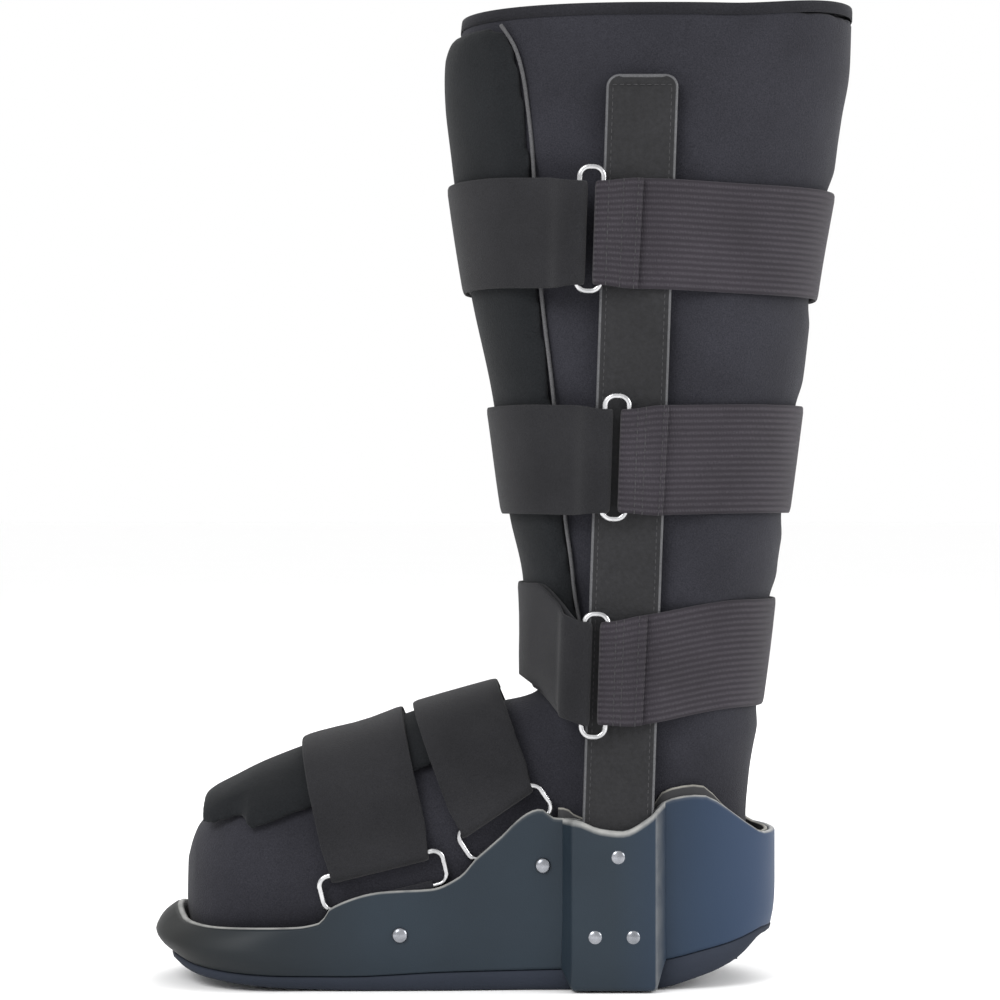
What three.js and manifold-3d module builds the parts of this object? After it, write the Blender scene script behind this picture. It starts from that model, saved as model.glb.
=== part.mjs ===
// Medical walking boot: a padded liner in a plastic shell, held by side uprights and ringed straps.
// Millimetres, +Z up. The toe points to -X and the outer (lateral) side to -Y.
// The origin is on the flat of the sole, under the middle of the foot.
import * as THREE from "three";
import { mergeVertices } from "three/addons/utils/BufferGeometryUtils.js";
import Module from "manifold-3d";

const wasm = await Module();
wasm.setup();

// Leg of the liner
const bootHeight = 450; // floor to the liner's top edge at the sides
const topRise = 5; // how much higher the top edge is at the back
const ankleX = 60; // the line of the ankle, in front of the heel
const ankleFront = 41; // ankle line to the front of the ankle
const ankleBack = 58; // ankle line to the back of the ankle
const ankleWidth = 91;
const topFront = 80; // ankle line to the front of the top edge
const topBack = 104.6; // ankle line to the back of the top edge
const topWidth = 132;
const linerWall = 8;
const heelRound = 14; // rounding under the heel

// Foot of the liner
const footReach = 210; // ankle line to the toe
const instepHeight = 131; // floor to the top of the instep
const footFloor = 12; // height of the toe's underside over the floor

// Shell and sole
const shellToe = 164.6; // origin to the front of the toe bumper
const shellHeel = 128.5; // origin to the back of the shell
const forefootWidth = 114; // outside of the shell
const heelWidth = 106;
const shellHeight = 89.6; // floor to the highest point of the rim
const shellWall = 3;
const shellFloor = 3;
const bumperDepth = 10.4; // how far the toe bumper stands out
const edgeRound = 2; // rounding of the shell's lower edge
const toeRound = 50; // length of the rounded toe, seen from above
const heelCurve = 48; // length of the rounded heel, seen from above
const soleThickness = 9; // outsole under the middle of the foot
const soleRise = 22; // height of the sole's bevelled heel end
const soleInset = 1.5;
const footGap = 6; // room between the liner and the shell's sides
const counterThickness = 2;
const counterRise = 5; // how far the counter stands above the rim

// Uprights and their housings
const uprightWidth = 32.5;
const uprightThickness = 6;
const uprightBottom = 17;
const uprightTop = 417;
const uprightX = 49.9; // middle of the bar at floor height
const uprightLean = 0.0312; // how far it leans back for each millimetre up
const uprightCorner = 5;
const uprightEdge = 1.6; // bevel of the covered edges
const housingWidth = 40;
const housingX = 50.5;
const housingCorner = 4;
const housingLow = 1; // its lower end over the floor

// Panels, straps and rings
const shinThickness = 6;
const footPadThickness = 4.5;
const pipingRadius = 1.1;
const bindingHeight = 5.5;
const bindingThickness = 1.1;
const strapWidth = 50;
const strapThickness = 2;
const wireRadius = 1.35;
const ringLength = 59; // outside, on the leg
const legRingWidth = 11; // between the middles of the two bars
const footRingWidth = 16;
const legRingCorner = 4; // to the middle of the wire
const footRingCorner = 5;
const legGather = 0.92; // how narrow a strap is drawn in at its ring
const footGather = 0.8;
const gatherLength = 14;
const tabThickness = 1;
const tabWidth = 32;
const tabReach = 22; // from the ring's lower bar to the tab's end
const rivetRadius = 3.6;
const rivetHeight = 1.9;

// Clearances
const seat = 0.3;
const padSeat = 0.6; // under padding, which bridges the rounding below it
const footPadSeat = 1;
const strapSeat = 0.75;
const turn = 0.5; // between a ring's wire and what is folded round it

const shellBack = shellHeel - shellWall;
const shellFront = -(shellToe - shellWall - bumperDepth);

// Sections of the leg. height is a share of bootHeight; front, back and width go from 0 at the
// ankle to 1 at the top edge; under is a share of heelRound.
const legSections = [
  { height: 0.038, front: 0.18, back: -0.02, width: -0.05, under: 1 },
  { height: 0.047, front: 0.18, back: -0.02, width: -0.05, under: 0.45 },
  { height: 0.068, front: 0.18, back: -0.02, width: -0.05, under: 0.1 },
  { height: 0.1, front: 0.18, back: 0, width: -0.05, under: 0 },
  { height: 0.173, front: 0.1, back: -0.05, width: 0, under: 0 },
  { height: 0.244, front: 0.03, back: 0.02, width: 0.02, under: 0 },
  { height: 0.333, front: 0, back: 0.13, width: 0.12, under: 0 },
  { height: 0.42, front: 0.06, back: 0.225, width: 0.24, under: 0 },
  { height: 0.484, front: 0.22, back: 0.32, width: 0.38, under: 0 },
  { height: 0.611, front: 0.43, back: 0.48, width: 0.57, under: 0 },
  { height: 0.722, front: 0.7, back: 0.61, width: 0.71, under: 0 },
  { height: 0.853, front: 0.92, back: 0.83, width: 0.86, under: 0 },
  { height: 0.953, front: 1.03, back: 0.985, width: 0.98, under: 0 },
  { height: 1, front: 0.985, back: 1, width: 1, under: 0 },
];

// Sections of the foot. along is a share of footReach; top is a share of instepHeight; bottom is
// the height over the shell's floor as a share of footFloor; width is a share of the shell's room.
const footSections = [
  { along: 1, top: 0.45, bottom: 0.9, width: 0.55 },
  { along: 0.992, top: 0.5, bottom: 0.5, width: 0.85 },
  { along: 0.975, top: 0.54, bottom: 0.22, width: 1 },
  { along: 0.943, top: 0.6, bottom: 0.05, width: 1 },
  { along: 0.89, top: 0.675, bottom: 0, width: 1 },
  { along: 0.8, top: 0.742, bottom: 0, width: 1 },
  { along: 0.7, top: 0.8, bottom: 0, width: 1 },
  { along: 0.6, top: 0.84, bottom: 0, width: 1 },
  { along: 0.49, top: 0.905, bottom: 0, width: 1 },
  { along: 0.38, top: 0.957, bottom: 0, width: 1 },
  { along: 0.28, top: 1, bottom: 0, width: 0.985 },
  { along: 0.14, top: 1.05, bottom: 0, width: 0.96 },
  { along: 0.03, top: 1.04, bottom: 0, width: 0.93 },
];

// Width of the shell's room from toe to heel. along goes from 0 at the toe to 1 at the heel;
// fore and heel are the shares of the two widths there; bumper is a share of bumperDepth.
const planSections = [
  { along: 0, fore: 0.98, heel: 0, bumper: 1 },
  { along: 0.06, fore: 1, heel: 0, bumper: 0.75 },
  { along: 0.13, fore: 1, heel: 0, bumper: 0.5 },
  { along: 0.25, fore: 1, heel: 0, bumper: 0 },
  { along: 0.45, fore: 0.7, heel: 0.3, bumper: 0 },
  { along: 0.62, fore: 0, heel: 1, bumper: 0 },
  { along: 0.8, fore: 0, heel: 0.99, bumper: 0 },
  { along: 1, fore: 0, heel: 0.95, bumper: 0 },
];

// The rim, seen from the side. x is a share of the shell's length behind (plus) or in front of
// (minus) the origin; height is a share of shellHeight.
const rimSections = [
  { x: -1, height: 0.54 },
  { x: -0.975, height: 0.5 },
  { x: -0.94, height: 0.4 },
  { x: -0.9, height: 0.33 },
  { x: -0.82, height: 0.32 },
  { x: -0.7, height: 0.325 },
  { x: -0.58, height: 0.33 },
  { x: -0.51, height: 0.355 },
  { x: -0.48, height: 0.43 },
  { x: -0.34, height: 0.51 },
  { x: -0.2, height: 0.525 },
  { x: -0.12, height: 0.59 },
  { x: -0.07, height: 0.69 },
  { x: 0.132, height: 0.93 },
  { x: 0.182, height: 0.885 },
  { x: 0.255, height: 0.88 },
  { x: 0.34, height: 0.835 },
  { x: 0.42, height: 0.822 },
  { x: 0.52, height: 0.895 },
  { x: 0.568, height: 0.963 },
  { x: 0.63, height: 0.993 },
  { x: 0.69, height: 1 },
  { x: 0.73, height: 0.995 },
  { x: 0.78, height: 0.953 },
  { x: 0.83, height: 0.9 },
  { x: 0.89, height: 0.835 },
  { x: 0.95, height: 0.785 },
  { x: 1, height: 0.783 },
];

// The shell's wall from its lower edge to the rim. height is a share of the wall's height;
// side is a share of edgeRound, toe a share of bumperDepth, both measured inwards.
const wallSections = [
  { height: 0, side: 1, toe: 0.75 },
  { height: 0.14, side: 0.4, toe: 0.42 },
  { height: 0.28, side: 0.1, toe: 0.16 },
  { height: 0.45, side: 0, toe: 0 },
  { height: 0.63, side: 0, toe: 0.15 },
  { height: 0.8, side: 0, toe: 0.42 },
  { height: 1, side: 0, toe: 0.98 },
];

// The sole from toe to heel. x is a share of the shell's length from the origin, rise a share of
// soleRise, thickness a share of soleThickness.
const soleSections = [
  { x: -0.93, rise: 0.4, thickness: 0.5 },
  { x: -0.86, rise: 0.25, thickness: 0.55 },
  { x: -0.73, rise: 0.13, thickness: 0.6 },
  { x: -0.57, rise: 0.04, thickness: 0.7 },
  { x: -0.38, rise: 0, thickness: 0.8 },
  { x: -0.15, rise: 0, thickness: 1 },
  { x: 0.2, rise: 0, thickness: 1.1 },
  { x: 0.52, rise: 0, thickness: 1.5 },
  { x: 0.71, rise: 0.27, thickness: 1.36 },
  { x: 0.84, rise: 0.58, thickness: 1.05 },
  { x: 0.93, rise: 1, thickness: 0.45 },
];

// The side edge of the shin panel. height is a share of bootHeight, edge a share of the way back
// from the front of the leg to the ankle line.
const shinEdge = [
  { height: 0.335, edge: 0.5 },
  { height: 0.42, edge: 0.38 },
  { height: 0.484, edge: 0.38 },
  { height: 0.611, edge: 0.37 },
  { height: 0.722, edge: 0.37 },
  { height: 0.853, edge: 0.37 },
  { height: 0.92, edge: 0.34 },
  { height: 0.96, edge: 0.29 },
  { height: 0.985, edge: 0.2 },
];

// The foot panel. along is a share of footReach; edge is the height of its side edge as a share
// of instepHeight.
const footPadEdge = [
  { along: 0.966, edge: 0.625 },
  { along: 0.94, edge: 0.61 },
  { along: 0.862, edge: 0.64 },
  { along: 0.85, edge: 0.545 },
  { along: 0.74, edge: 0.6 },
  { along: 0.6, edge: 0.68 },
  { along: 0.45, edge: 0.76 },
  { along: 0.3, edge: 0.85 },
];

// The straps on the leg: middle height at the ring, ring's place, how much higher the strap runs
// at the front and the back, how much higher the ring sits, and the sewn end's length.
const legStraps = [
  { middle: 346, ringX: 39, frontRise: 2, backRise: -2, ringRise: 1.8, sewn: 19 },
  { middle: 243, ringX: 50.7, frontRise: 1, backRise: 1, ringRise: 1.5, sewn: 18 },
  { middle: 146, ringX: 41.5, frontRise: 19, backRise: 8, ringRise: -1, sewn: 17 },
];

// The straps on the foot: middle of the ring's upper bar, slope of the ring, tilt of the strap,
// its width, the ring's length and the rivet that holds its tab.
const footStraps = [
  { x: -57.2, z: 58, slope: 13.5, tilt: 13, width: 49, ring: 61, rivet: [-47.5, 26] },
  { x: -3.7, z: 83, slope: 33, tilt: 21, width: 41, ring: 47, rivet: [18, 57.5] },
];

// The rivets that hold the uprights: distance in front of the housing's middle, and height.
const uprightRivets = [
  { ahead: -1.7, z: 62 },
  { ahead: 8.8, z: 25.5 },
  { ahead: -8.6, z: 25.5 },
];

const finishes = {
  shell: { color: 0x2b3644, roughness: 0.45, metalness: 0 },
  sole: { color: 0x1d2126, roughness: 0.8, metalness: 0 },
  padding: { color: 0x1c1c1f, roughness: 0.95, metalness: 0 },
  loop: { color: 0x19191b, roughness: 0.95, metalness: 0 },
  webbing: { color: 0x2a272c, roughness: 0.85, metalness: 0 },
  cover: { color: 0x1a1a1c, roughness: 0.6, metalness: 0 },
  piping: { color: 0x4a4b4e, roughness: 0.8, metalness: 0 },
  steel: { color: 0xc9ccd0, roughness: 0.25, metalness: 1 },
};

const boot = new THREE.Group();

function add(name, geometry, finish) {
  const mesh = new THREE.Mesh(geometry, new THREE.MeshStandardMaterial(finishes[finish]));
  mesh.name = name;
  boot.add(mesh);
  return mesh;
}

const mix = (a, b, share) => a + (b - a) * share;
const rad = THREE.MathUtils.degToRad;

// A table's columns at any value of its first one, in straight steps between its rows.
function rowAt(table, key, value) {
  let i = 1;
  while (i < table.length - 1 && table[i][key] < value) i += 1;
  const a = table[i - 1];
  const b = table[i];
  const share = THREE.MathUtils.clamp((value - a[key]) / (b[key] - a[key]), 0, 1);
  const row = {};
  for (const column of Object.keys(a)) row[column] = mix(a[column], b[column], share);
  return row;
}

// One closed body through rings of points. fold 0: the ring closes on single end points;
// fold 1: on end edges. A looped body joins its last ring to its first.
function loft(rings, fold = 1, looped = false) {
  const n = rings[0].length;
  const points = rings.flat().flatMap((p) => [p.x, p.y, p.z]);
  const index = [];
  const quad = (a, b, c, d) => index.push(a, b, c, a, c, d);
  const last = looped ? rings.length : rings.length - 1;
  for (let r = 0; r < last; r += 1) {
    const here = r * n;
    const next = ((r + 1) % rings.length) * n;
    for (let i = 0; i < n; i += 1) {
      const j = (i + 1) % n;
      quad(here + i, here + j, next + j, next + i);
    }
  }
  if (!looped) {
    const end = (rings.length - 1) * n;
    const across = (i) => (n - fold - i + n) % n;
    for (let i = 0; i < (n - fold) / 2 - 0.5; i += 1) {
      quad(i, across(i), across(i + 1), i + 1);
      quad(end + i, end + i + 1, end + across(i + 1), end + across(i));
    }
  }
  return closedGeometry(points, index);
}

// Welds the points, drops faces that have no area and turns the faces outwards.
function closedGeometry(points, index) {
  let geometry = new THREE.BufferGeometry();
  geometry.setAttribute("position", new THREE.Float32BufferAttribute(points, 3));
  geometry.setIndex(index);
  geometry = mergeVertices(geometry, 1e-3);
  const at = geometry.attributes.position;
  const corner = [new THREE.Vector3(), new THREE.Vector3(), new THREE.Vector3()];
  const faces = [];
  let volume = 0;
  for (let i = 0; i < geometry.index.count; i += 3) {
    const face = [0, 1, 2].map((k) => geometry.index.getX(i + k));
    if (new Set(face).size < 3) continue;
    faces.push(face);
    face.forEach((v, k) => corner[k].fromBufferAttribute(at, v));
    volume += corner[0].dot(corner[1].cross(corner[2]));
  }
  if (volume < 0) faces.forEach((face) => face.reverse());
  geometry.setIndex(faces.flat());
  return geometry;
}

function solid(geometry) {
  const bare = geometry.clone();
  bare.deleteAttribute("normal");
  bare.deleteAttribute("uv");
  const merged = mergeVertices(bare, 1e-3);
  return new wasm.Manifold(
    new wasm.Mesh({
      numProp: 3,
      vertProperties: merged.attributes.position.array,
      triVerts: new Uint32Array(merged.index.array),
    }),
  );
}

function geometryOf(body) {
  const mesh = body.getMesh();
  const geometry = new THREE.BufferGeometry();
  geometry.setAttribute("position", new THREE.BufferAttribute(mesh.vertProperties, 3));
  geometry.setIndex(new THREE.BufferAttribute(mesh.triVerts, 1));
  return geometry;
}

// Plan and side view of the shell

const shellX = (share) => share * (share < 0 ? shellToe : shellHeel);
const shellShare = (x) => x / (x < 0 ? shellToe : shellHeel);

// Half the width of the shell's room at x.
function roomHalf(x) {
  const along = (x - shellFront) / (shellBack - shellFront);
  const row = rowAt(planSections, "along", along);
  const full = (row.fore * forefootWidth + row.heel * heelWidth) / 2 - shellWall;
  const toeEnd = THREE.MathUtils.clamp(1 - (x - shellFront) / toeRound, 0, 1);
  const heelEnd = THREE.MathUtils.clamp(1 - (shellBack - x) / heelCurve, 0, 1);
  return full * (1 - toeEnd ** 2.2) ** (1 / 2.2) * (1 - heelEnd ** 2.2) ** (1 / 2.2);
}

const rimHeight = (x) => rowAt(rimSections, "x", shellShare(x)).height * shellHeight;
const soleBottom = (x) => rowAt(soleSections, "x", shellShare(x)).rise * soleRise;
const soleTop = (x) =>
  soleBottom(x) + rowAt(soleSections, "x", shellShare(x)).thickness * soleThickness;
const floorTop = (x) => soleTop(x) + shellFloor;

// Stations round the shell's plan on one side: close together at the rounded ends and at the
// rim's own corners in between.
const stations = [0, 0.06, 0.22, 0.45, 0.72].map((share) => shellFront + share * 0.4 * toeRound);
for (const row of rimSections) {
  const x = shellX(row.x);
  if (x > shellFront + 0.42 * toeRound && x < shellBack - 0.4 * heelCurve) stations.push(x);
}
for (const share of [0.36, 0.25, 0.15, 0.07, 0.02, 0]) stations.push(shellBack - share * heelCurve);

// The outward direction of the plan at x, on the medial side.
function planNormal(x) {
  if (x <= shellFront) return new THREE.Vector2(-1, 0);
  if (x >= shellBack) return new THREE.Vector2(1, 0);
  const step = 0.05;
  const before = Math.max(x - step, shellFront);
  const after = Math.min(x + step, shellBack);
  const slope = (roomHalf(after) - roomHalf(before)) / (after - before);
  return new THREE.Vector2(-slope, 1).normalize();
}

// A closed ring round the plan, moved outwards by offset(x) and set at height(x).
function planRing(offset, height) {
  const medial = stations.map((from) => {
    const normal = planNormal(from);
    const x = from + normal.x * offset(from);
    const y = Math.max(0, roomHalf(from) + normal.y * offset(from));
    return new THREE.Vector3(x, y, height(x, from));
  });
  const lateral = medial.map((p) => new THREE.Vector3(p.x, -p.y, p.z));
  return [...lateral, ...medial.slice(1, -1).reverse()];
}

const bumperAt = (x) =>
  rowAt(planSections, "along", (x - shellFront) / (shellBack - shellFront)).bumper * bumperDepth;

const rimAt = (from) => rimHeight(from + shellWall * planNormal(from).x);

// How far the wall's outside stands from the room, in a row of wallSections.
function wallOut(row, x) {
  const bumper = bumperAt(x);
  const round = row.side * edgeRound * (1 - bumper / bumperDepth);
  return shellWall + bumper * (1 - row.toe) - round;
}

function shellTub() {
  const outer = wallSections.map((row) =>
    planRing(
      (from) => wallOut(row, from),
      (x, from) => mix(soleTop(x), rimAt(from), row.height),
    ),
  );
  const rim = planRing(() => 0, (x, from) => rimAt(from));
  const low = planRing(() => 0, (x) => floorTop(x) + shellFloor);
  const floor = planRing(() => -shellFloor, (x) => floorTop(x));
  return loft([...outer, rim, low, floor], 0);
}

// Uprights

const uprightMiddle = (z) => uprightX + uprightLean * z;
const legRow = (z) => rowAt(legSections, "height", z / bootHeight);
const legHalf = (z) => mix(ankleWidth, topWidth, legRow(z).width) / 2;
const uprightInner = (z) => Math.max(roomHalf(ankleX) + seat, legHalf(z) + seat);

// A flat bar that follows the leg, between two heights, grown all round by a clearance.
function bar(side, grow, heights, top) {
  const rings = heights.map((z, i) => {
    const atTop = top && i >= heights.length - 3;
    const trim = atTop ? uprightCorner * [0, 0.3, 1][i - heights.length + 3] : 0;
    const half = uprightWidth / 2 - trim + grow;
    const inner = uprightInner(z) - grow;
    const outer = uprightInner(z) + uprightThickness + grow;
    const bevel = uprightEdge;
    const x = uprightMiddle(z);
    const corners = [
      [half - bevel, inner],
      [half, inner + bevel],
      [half, outer - bevel],
      [half - bevel, outer],
    ];
    const mirrored = corners.map(([across, out]) => [-across, out]).reverse();
    return [...corners, ...mirrored].map(
      ([across, out]) => new THREE.Vector3(x + across, side * out, z),
    );
  });
  return loft(rings);
}

const barHeights = [uprightBottom];
for (const row of legSections) {
  const z = row.height * bootHeight;
  if (z > uprightBottom + heelRound && z < uprightTop - uprightCorner) barHeights.push(z);
}
barHeights.push(uprightTop - uprightCorner, uprightTop - 0.3 * uprightCorner, uprightTop);

const housingOut = roomHalf(ankleX) + seat + uprightThickness + seat + shellWall;

// The raised housing outside each upright, from just over the floor to the rim.
function housing(side) {
  const outer = housingOut;
  const half = housingWidth / 2;
  const shape = [
    [-half - housingCorner, 0],
    [-half, outer - housingCorner / 2],
    [-half + housingCorner / 2, outer],
    [-half / 3, outer],
    [half / 3, outer],
    [half - housingCorner / 2, outer],
    [half, outer - housingCorner / 2],
    [half + housingCorner, 0],
  ];
  const back = shape.map(([across]) => [across, 0]).reverse();
  const ring = (share) =>
    [...shape, ...back].map(([across, out], i) => {
      const x = housingX + across;
      const within = i >= shape.length ? 0.4 : 0.8;
      const y = Math.max(out, roomHalf(x) + within * shellWall);
      const foot = out > 0 ? housingLow : soleTop(x) + seat;
      return new THREE.Vector3(x, side * y, mix(foot, rimHeight(x), share));
    });
  return loft([ring(0), ring(1)]);
}

function shell() {
  let body = solid(shellTub());
  for (const side of [-1, 1]) {
    body = body.add(solid(housing(side)));
    const pocket = [uprightBottom - seat, shellHeight + uprightThickness];
    body = body.subtract(solid(bar(side, seat, pocket, false)));
  }
  return geometryOf(body);
}

// The outsole follows the shell's lower edge and makes room for the housings.
function outsole() {
  const edge = (inset) => (from) => wallOut(wallSections[0], from) - inset;
  const top = planRing(edge(0), (x) => soleTop(x) - seat);
  const middle = planRing(edge(0.3 * soleInset), (x) => mix(soleBottom(x), soleTop(x), 0.3));
  const bottom = planRing(edge(2 * soleInset), (x) => soleBottom(x));
  let body = solid(loft([bottom, middle, top], 0));
  const half = housingWidth / 2 + housingCorner + seat;
  const depth = 4 * shellWall;
  const inner = roomHalf(housingX + half) + 0.4 * shellWall - seat;
  for (const side of [-1, 1]) {
    const notch = new THREE.BoxGeometry(2 * half, depth, 4 * soleThickness);
    notch.translate(housingX, side * (inner + depth / 2), 0);
    body = body.subtract(solid(notch));
  }
  return geometryOf(body);
}

// The thin layer inside the shell's heel, which shows above the rim in front of and behind the
// housings.
function innerCounter() {
  const from = 0.19 * shellHeel;
  const reach = stations.filter((x) => x >= from);
  const wall = (inset, height) => {
    const spot = (x, side) => {
      const normal = planNormal(x);
      return new THREE.Vector3(
        x - normal.x * inset,
        side * Math.max(0, roomHalf(x) - normal.y * inset),
        height(x),
      );
    };
    return [...reach.map((x) => spot(x, -1)), ...reach.slice(0, -1).reverse().map((x) => spot(x, 1))];
  };
  const low = (x) => floorTop(x) + shellFloor + seat;
  const rise = (x) => counterRise * Math.max(0, 1 - Math.max(0, x - 0.7 * shellHeel) / (0.1 * shellHeel));
  const high = (x) => rimHeight(x) + rise(x);
  const outerLow = wall(seat, low);
  const outerHigh = wall(seat, high);
  const innerLow = wall(seat + counterThickness, low);
  const innerHigh = wall(seat + counterThickness, high);
  return loft(outerLow.map((p, i) => [p, outerHigh[i], innerHigh[i], innerLow[i]]));
}

// Leg and foot of the liner

const legPower = 2.35;
const rounded = (value, power) => Math.sign(value) * Math.abs(value) ** (2 / power);

// The leg's outline at height z: middle, half depth and half width, moved in by a wall.
function legShape(z, wall = 0) {
  const row = legRow(z);
  const front = ankleX - mix(ankleFront, topFront, row.front);
  const back = ankleX + mix(ankleBack, topBack, row.back);
  const inset = wall + row.under * heelRound;
  return {
    middle: (front + back) / 2,
    depth: (back - front) / 2 - inset,
    half: legHalf(z) - inset,
  };
}

// A point of the leg's outline. The angle is 0 at the front and grows towards the lateral side.
function legPoint(z, angle, out = 0) {
  const shape = legShape(z);
  const x = -shape.depth * rounded(Math.cos(angle), legPower);
  const y = -shape.half * rounded(Math.sin(angle), legPower);
  const steep = legPower - 1;
  const nx = -rounded(Math.cos(angle), legPower / steep) / shape.depth;
  const ny = -rounded(Math.sin(angle), legPower / steep) / shape.half;
  const size = Math.hypot(nx, ny);
  return new THREE.Vector3(shape.middle + x + (nx / size) * out, y + (ny / size) * out, z);
}

const topEdge = (x) => topRise * THREE.MathUtils.smoothstep(x, ankleX + 0.4 * topBack, ankleX + topBack);
const legSides = 32;

// Corner i of the leg's section, moved in by a wall.
function legCorner(z, i, wall) {
  const shape = legShape(z, wall);
  const angle = (i / legSides) * 2 * Math.PI;
  const x = shape.middle - shape.depth * rounded(Math.cos(angle), legPower);
  return new THREE.Vector3(x, -shape.half * rounded(Math.sin(angle), legPower), z);
}

function legBody(wall, heights) {
  const rings = heights.map((z) => {
    const ring = [];
    for (let i = 0; i < legSides; i += 1) {
      const corner = legCorner(z, i, wall);
      if (z >= bootHeight) corner.z += topEdge(corner.x);
      corner.z = Math.max(corner.z, floorTop(corner.x) + padSeat + wall);
      ring.push(corner);
    }
    return ring;
  });
  return loft(rings, 0);
}

const footX = (along) => ankleX - along * footReach;

function footShape(x, wall = 0) {
  const table = [...footSections].reverse();
  const row = rowAt(table, "along", (ankleX - x) / footReach);
  const bottom = floorTop(x) + padSeat + row.bottom * footFloor + wall;
  const top = row.top * instepHeight - wall;
  return { top, bottom, half: row.width * (roomHalf(x) - footGap) - wall, waist: mix(bottom, top, 0.38) };
}

const footTopPower = 2.3;
const footSolePower = 3.6;

// A point of the foot's section at x. The angle is 0 on top and grows towards the lateral side.
function footPoint(x, angle, wall = 0) {
  const shape = footShape(x, wall);
  const above = Math.cos(angle) >= 0;
  const power = above ? footTopPower : footSolePower;
  const reach = above ? shape.top - shape.waist : shape.waist - shape.bottom;
  return new THREE.Vector3(
    x,
    -shape.half * rounded(Math.sin(angle), power),
    shape.waist + reach * rounded(Math.cos(angle), power),
  );
}

function footBody(wall, places, sides) {
  const rings = places.map((x) => {
    const ring = [];
    for (let i = 0; i < sides; i += 1) ring.push(footPoint(x, (i / sides) * 2 * Math.PI, wall));
    return ring;
  });
  return loft(rings, 0);
}

const legHeights = legSections.map((row) => row.height * bootHeight);

function liner() {
  const footPlaces = footSections.map((row) => footX(row.along));
  const outer = solid(legBody(0, legHeights)).add(solid(footBody(0, footPlaces, 28)));
  const last = legHeights.length - 2;
  const hollowHeights = legHeights.filter((z, i) => i >= 3 && (i % 2 === 1 || i >= last));
  const hollow = [floorTop(ankleX) + linerWall + padSeat, ...hollowHeights, 1.1 * bootHeight];
  const hollowPlaces = footPlaces.filter((x, i) => i >= 3 && i % 2 === 1);
  hollowPlaces.push(footX(0.03));
  const inner = solid(legBody(linerWall, hollow)).add(
    solid(footBody(linerWall, hollowPlaces, 20)),
  );
  return geometryOf(outer.subtract(inner));
}

// The bound edge: a folded strip over the liner's top.
function topBinding() {
  const rings = [];
  const last = legHeights.at(-2);
  for (let i = 0; i < legSides; i += 1) {
    const lift = topEdge(legCorner(bootHeight, i, 0).x);
    const top = bootHeight + lift + seat;
    const down = (bindingHeight * (bootHeight - last)) / (bootHeight + lift - last);
    const spot = (wall, below, z) => legCorner(bootHeight - below, i, wall).setZ(z);
    const outside = -padSeat;
    const inside = linerWall + padSeat;
    rings.push([
      spot(outside, down, top - bindingHeight),
      spot(outside, 0, top),
      spot(inside, 0, top),
      spot(inside, down, top - bindingHeight),
      spot(inside + bindingThickness, down, top - bindingHeight),
      spot(inside + bindingThickness, 0, top + bindingThickness / 2),
      spot(inside / 2, 0, top + bindingThickness),
      spot(outside - bindingThickness, 0, top + bindingThickness / 2),
      spot(outside - bindingThickness, down, top - bindingHeight),
    ]);
  }
  return loft(rings, 1, true);
}

// Shin panel

function shinEdgeAngle(z) {
  const shape = legShape(z);
  const row = rowAt(shinEdge, "height", z / bootHeight);
  const front = shape.middle - shape.depth;
  const x = mix(front, ankleX, row.edge);
  return Math.acos(((shape.middle - x) / shape.depth) ** (legPower / 2));
}

const shinHeights = legSections
  .map((row) => row.height)
  .filter((share) => share > shinEdge[0].height && share < shinEdge.at(-1).height)
  .concat(shinEdge.map((row) => row.height))
  .filter((share, i, all) => all.indexOf(share) === i)
  .sort((a, b) => a - b)
  .map((share) => share * bootHeight);

function shinFlap() {
  const columns = 14;
  const rings = shinHeights.map((z) => {
    const reach = shinEdgeAngle(z);
    const inner = [];
    const outer = [];
    for (let i = 0; i <= columns; i += 1) {
      const share = (i / columns) * 2 - 1;
      const edge = Math.max(0, 1 - Math.max(0, Math.abs(share) - 0.85) / 0.15);
      const thick = mix(0.45, 1, Math.sqrt(edge)) * shinThickness;
      inner.push(legPoint(z, share * reach, padSeat));
      outer.push(legPoint(z, share * reach, padSeat + thick));
    }
    return [...inner, ...outer.reverse()];
  });
  return loft(rings);
}

// Light piping along a side edge of the shin panel.
function shinPiping(side) {
  const path = shinHeights.map((z) => {
    const reach = shinEdgeAngle(z);
    const shape = legShape(z);
    const step = (pipingRadius + seat) / Math.hypot(shape.depth, shape.half);
    return legPoint(z, side * (reach + 2.6 * step), padSeat + pipingRadius);
  });
  return tube(path, pipingRadius, 26, 6);
}

function tube(path, radius, steps, sides) {
  const round = new THREE.Shape();
  for (let i = 0; i < sides; i += 1) {
    const angle = (i / sides) * 2 * Math.PI;
    const x = radius * Math.cos(angle);
    const y = radius * Math.sin(angle);
    if (i === 0) round.moveTo(x, y);
    else round.lineTo(x, y);
  }
  return new THREE.ExtrudeGeometry(round, {
    steps,
    extrudePath: new THREE.CatmullRomCurve3(path),
    bevelEnabled: false,
  });
}

// Foot panel

// In front of the toe's bend the panel runs straight on.
function footPadBase(x) {
  const bend = footX(0.87);
  if (x >= bend) return { at: x, lift: 0 };
  const slope = (footShape(bend + 10).top - footShape(bend).top) / 10;
  return { at: bend, lift: (x - bend) * slope };
}

function footPadPoint(x, angle, out) {
  const base = footPadBase(x);
  const point = footPoint(base.at, angle);
  const near = footPoint(base.at, angle + 0.02);
  const far = footPoint(base.at, angle - 0.02);
  const normal = new THREE.Vector2(near.z - far.z, far.y - near.y).normalize();
  const flip = Math.cos(angle) * normal.y < 0 ? -1 : 1;
  return new THREE.Vector3(
    x,
    point.y + flip * normal.x * out,
    point.z + base.lift + flip * normal.y * out,
  );
}

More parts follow.
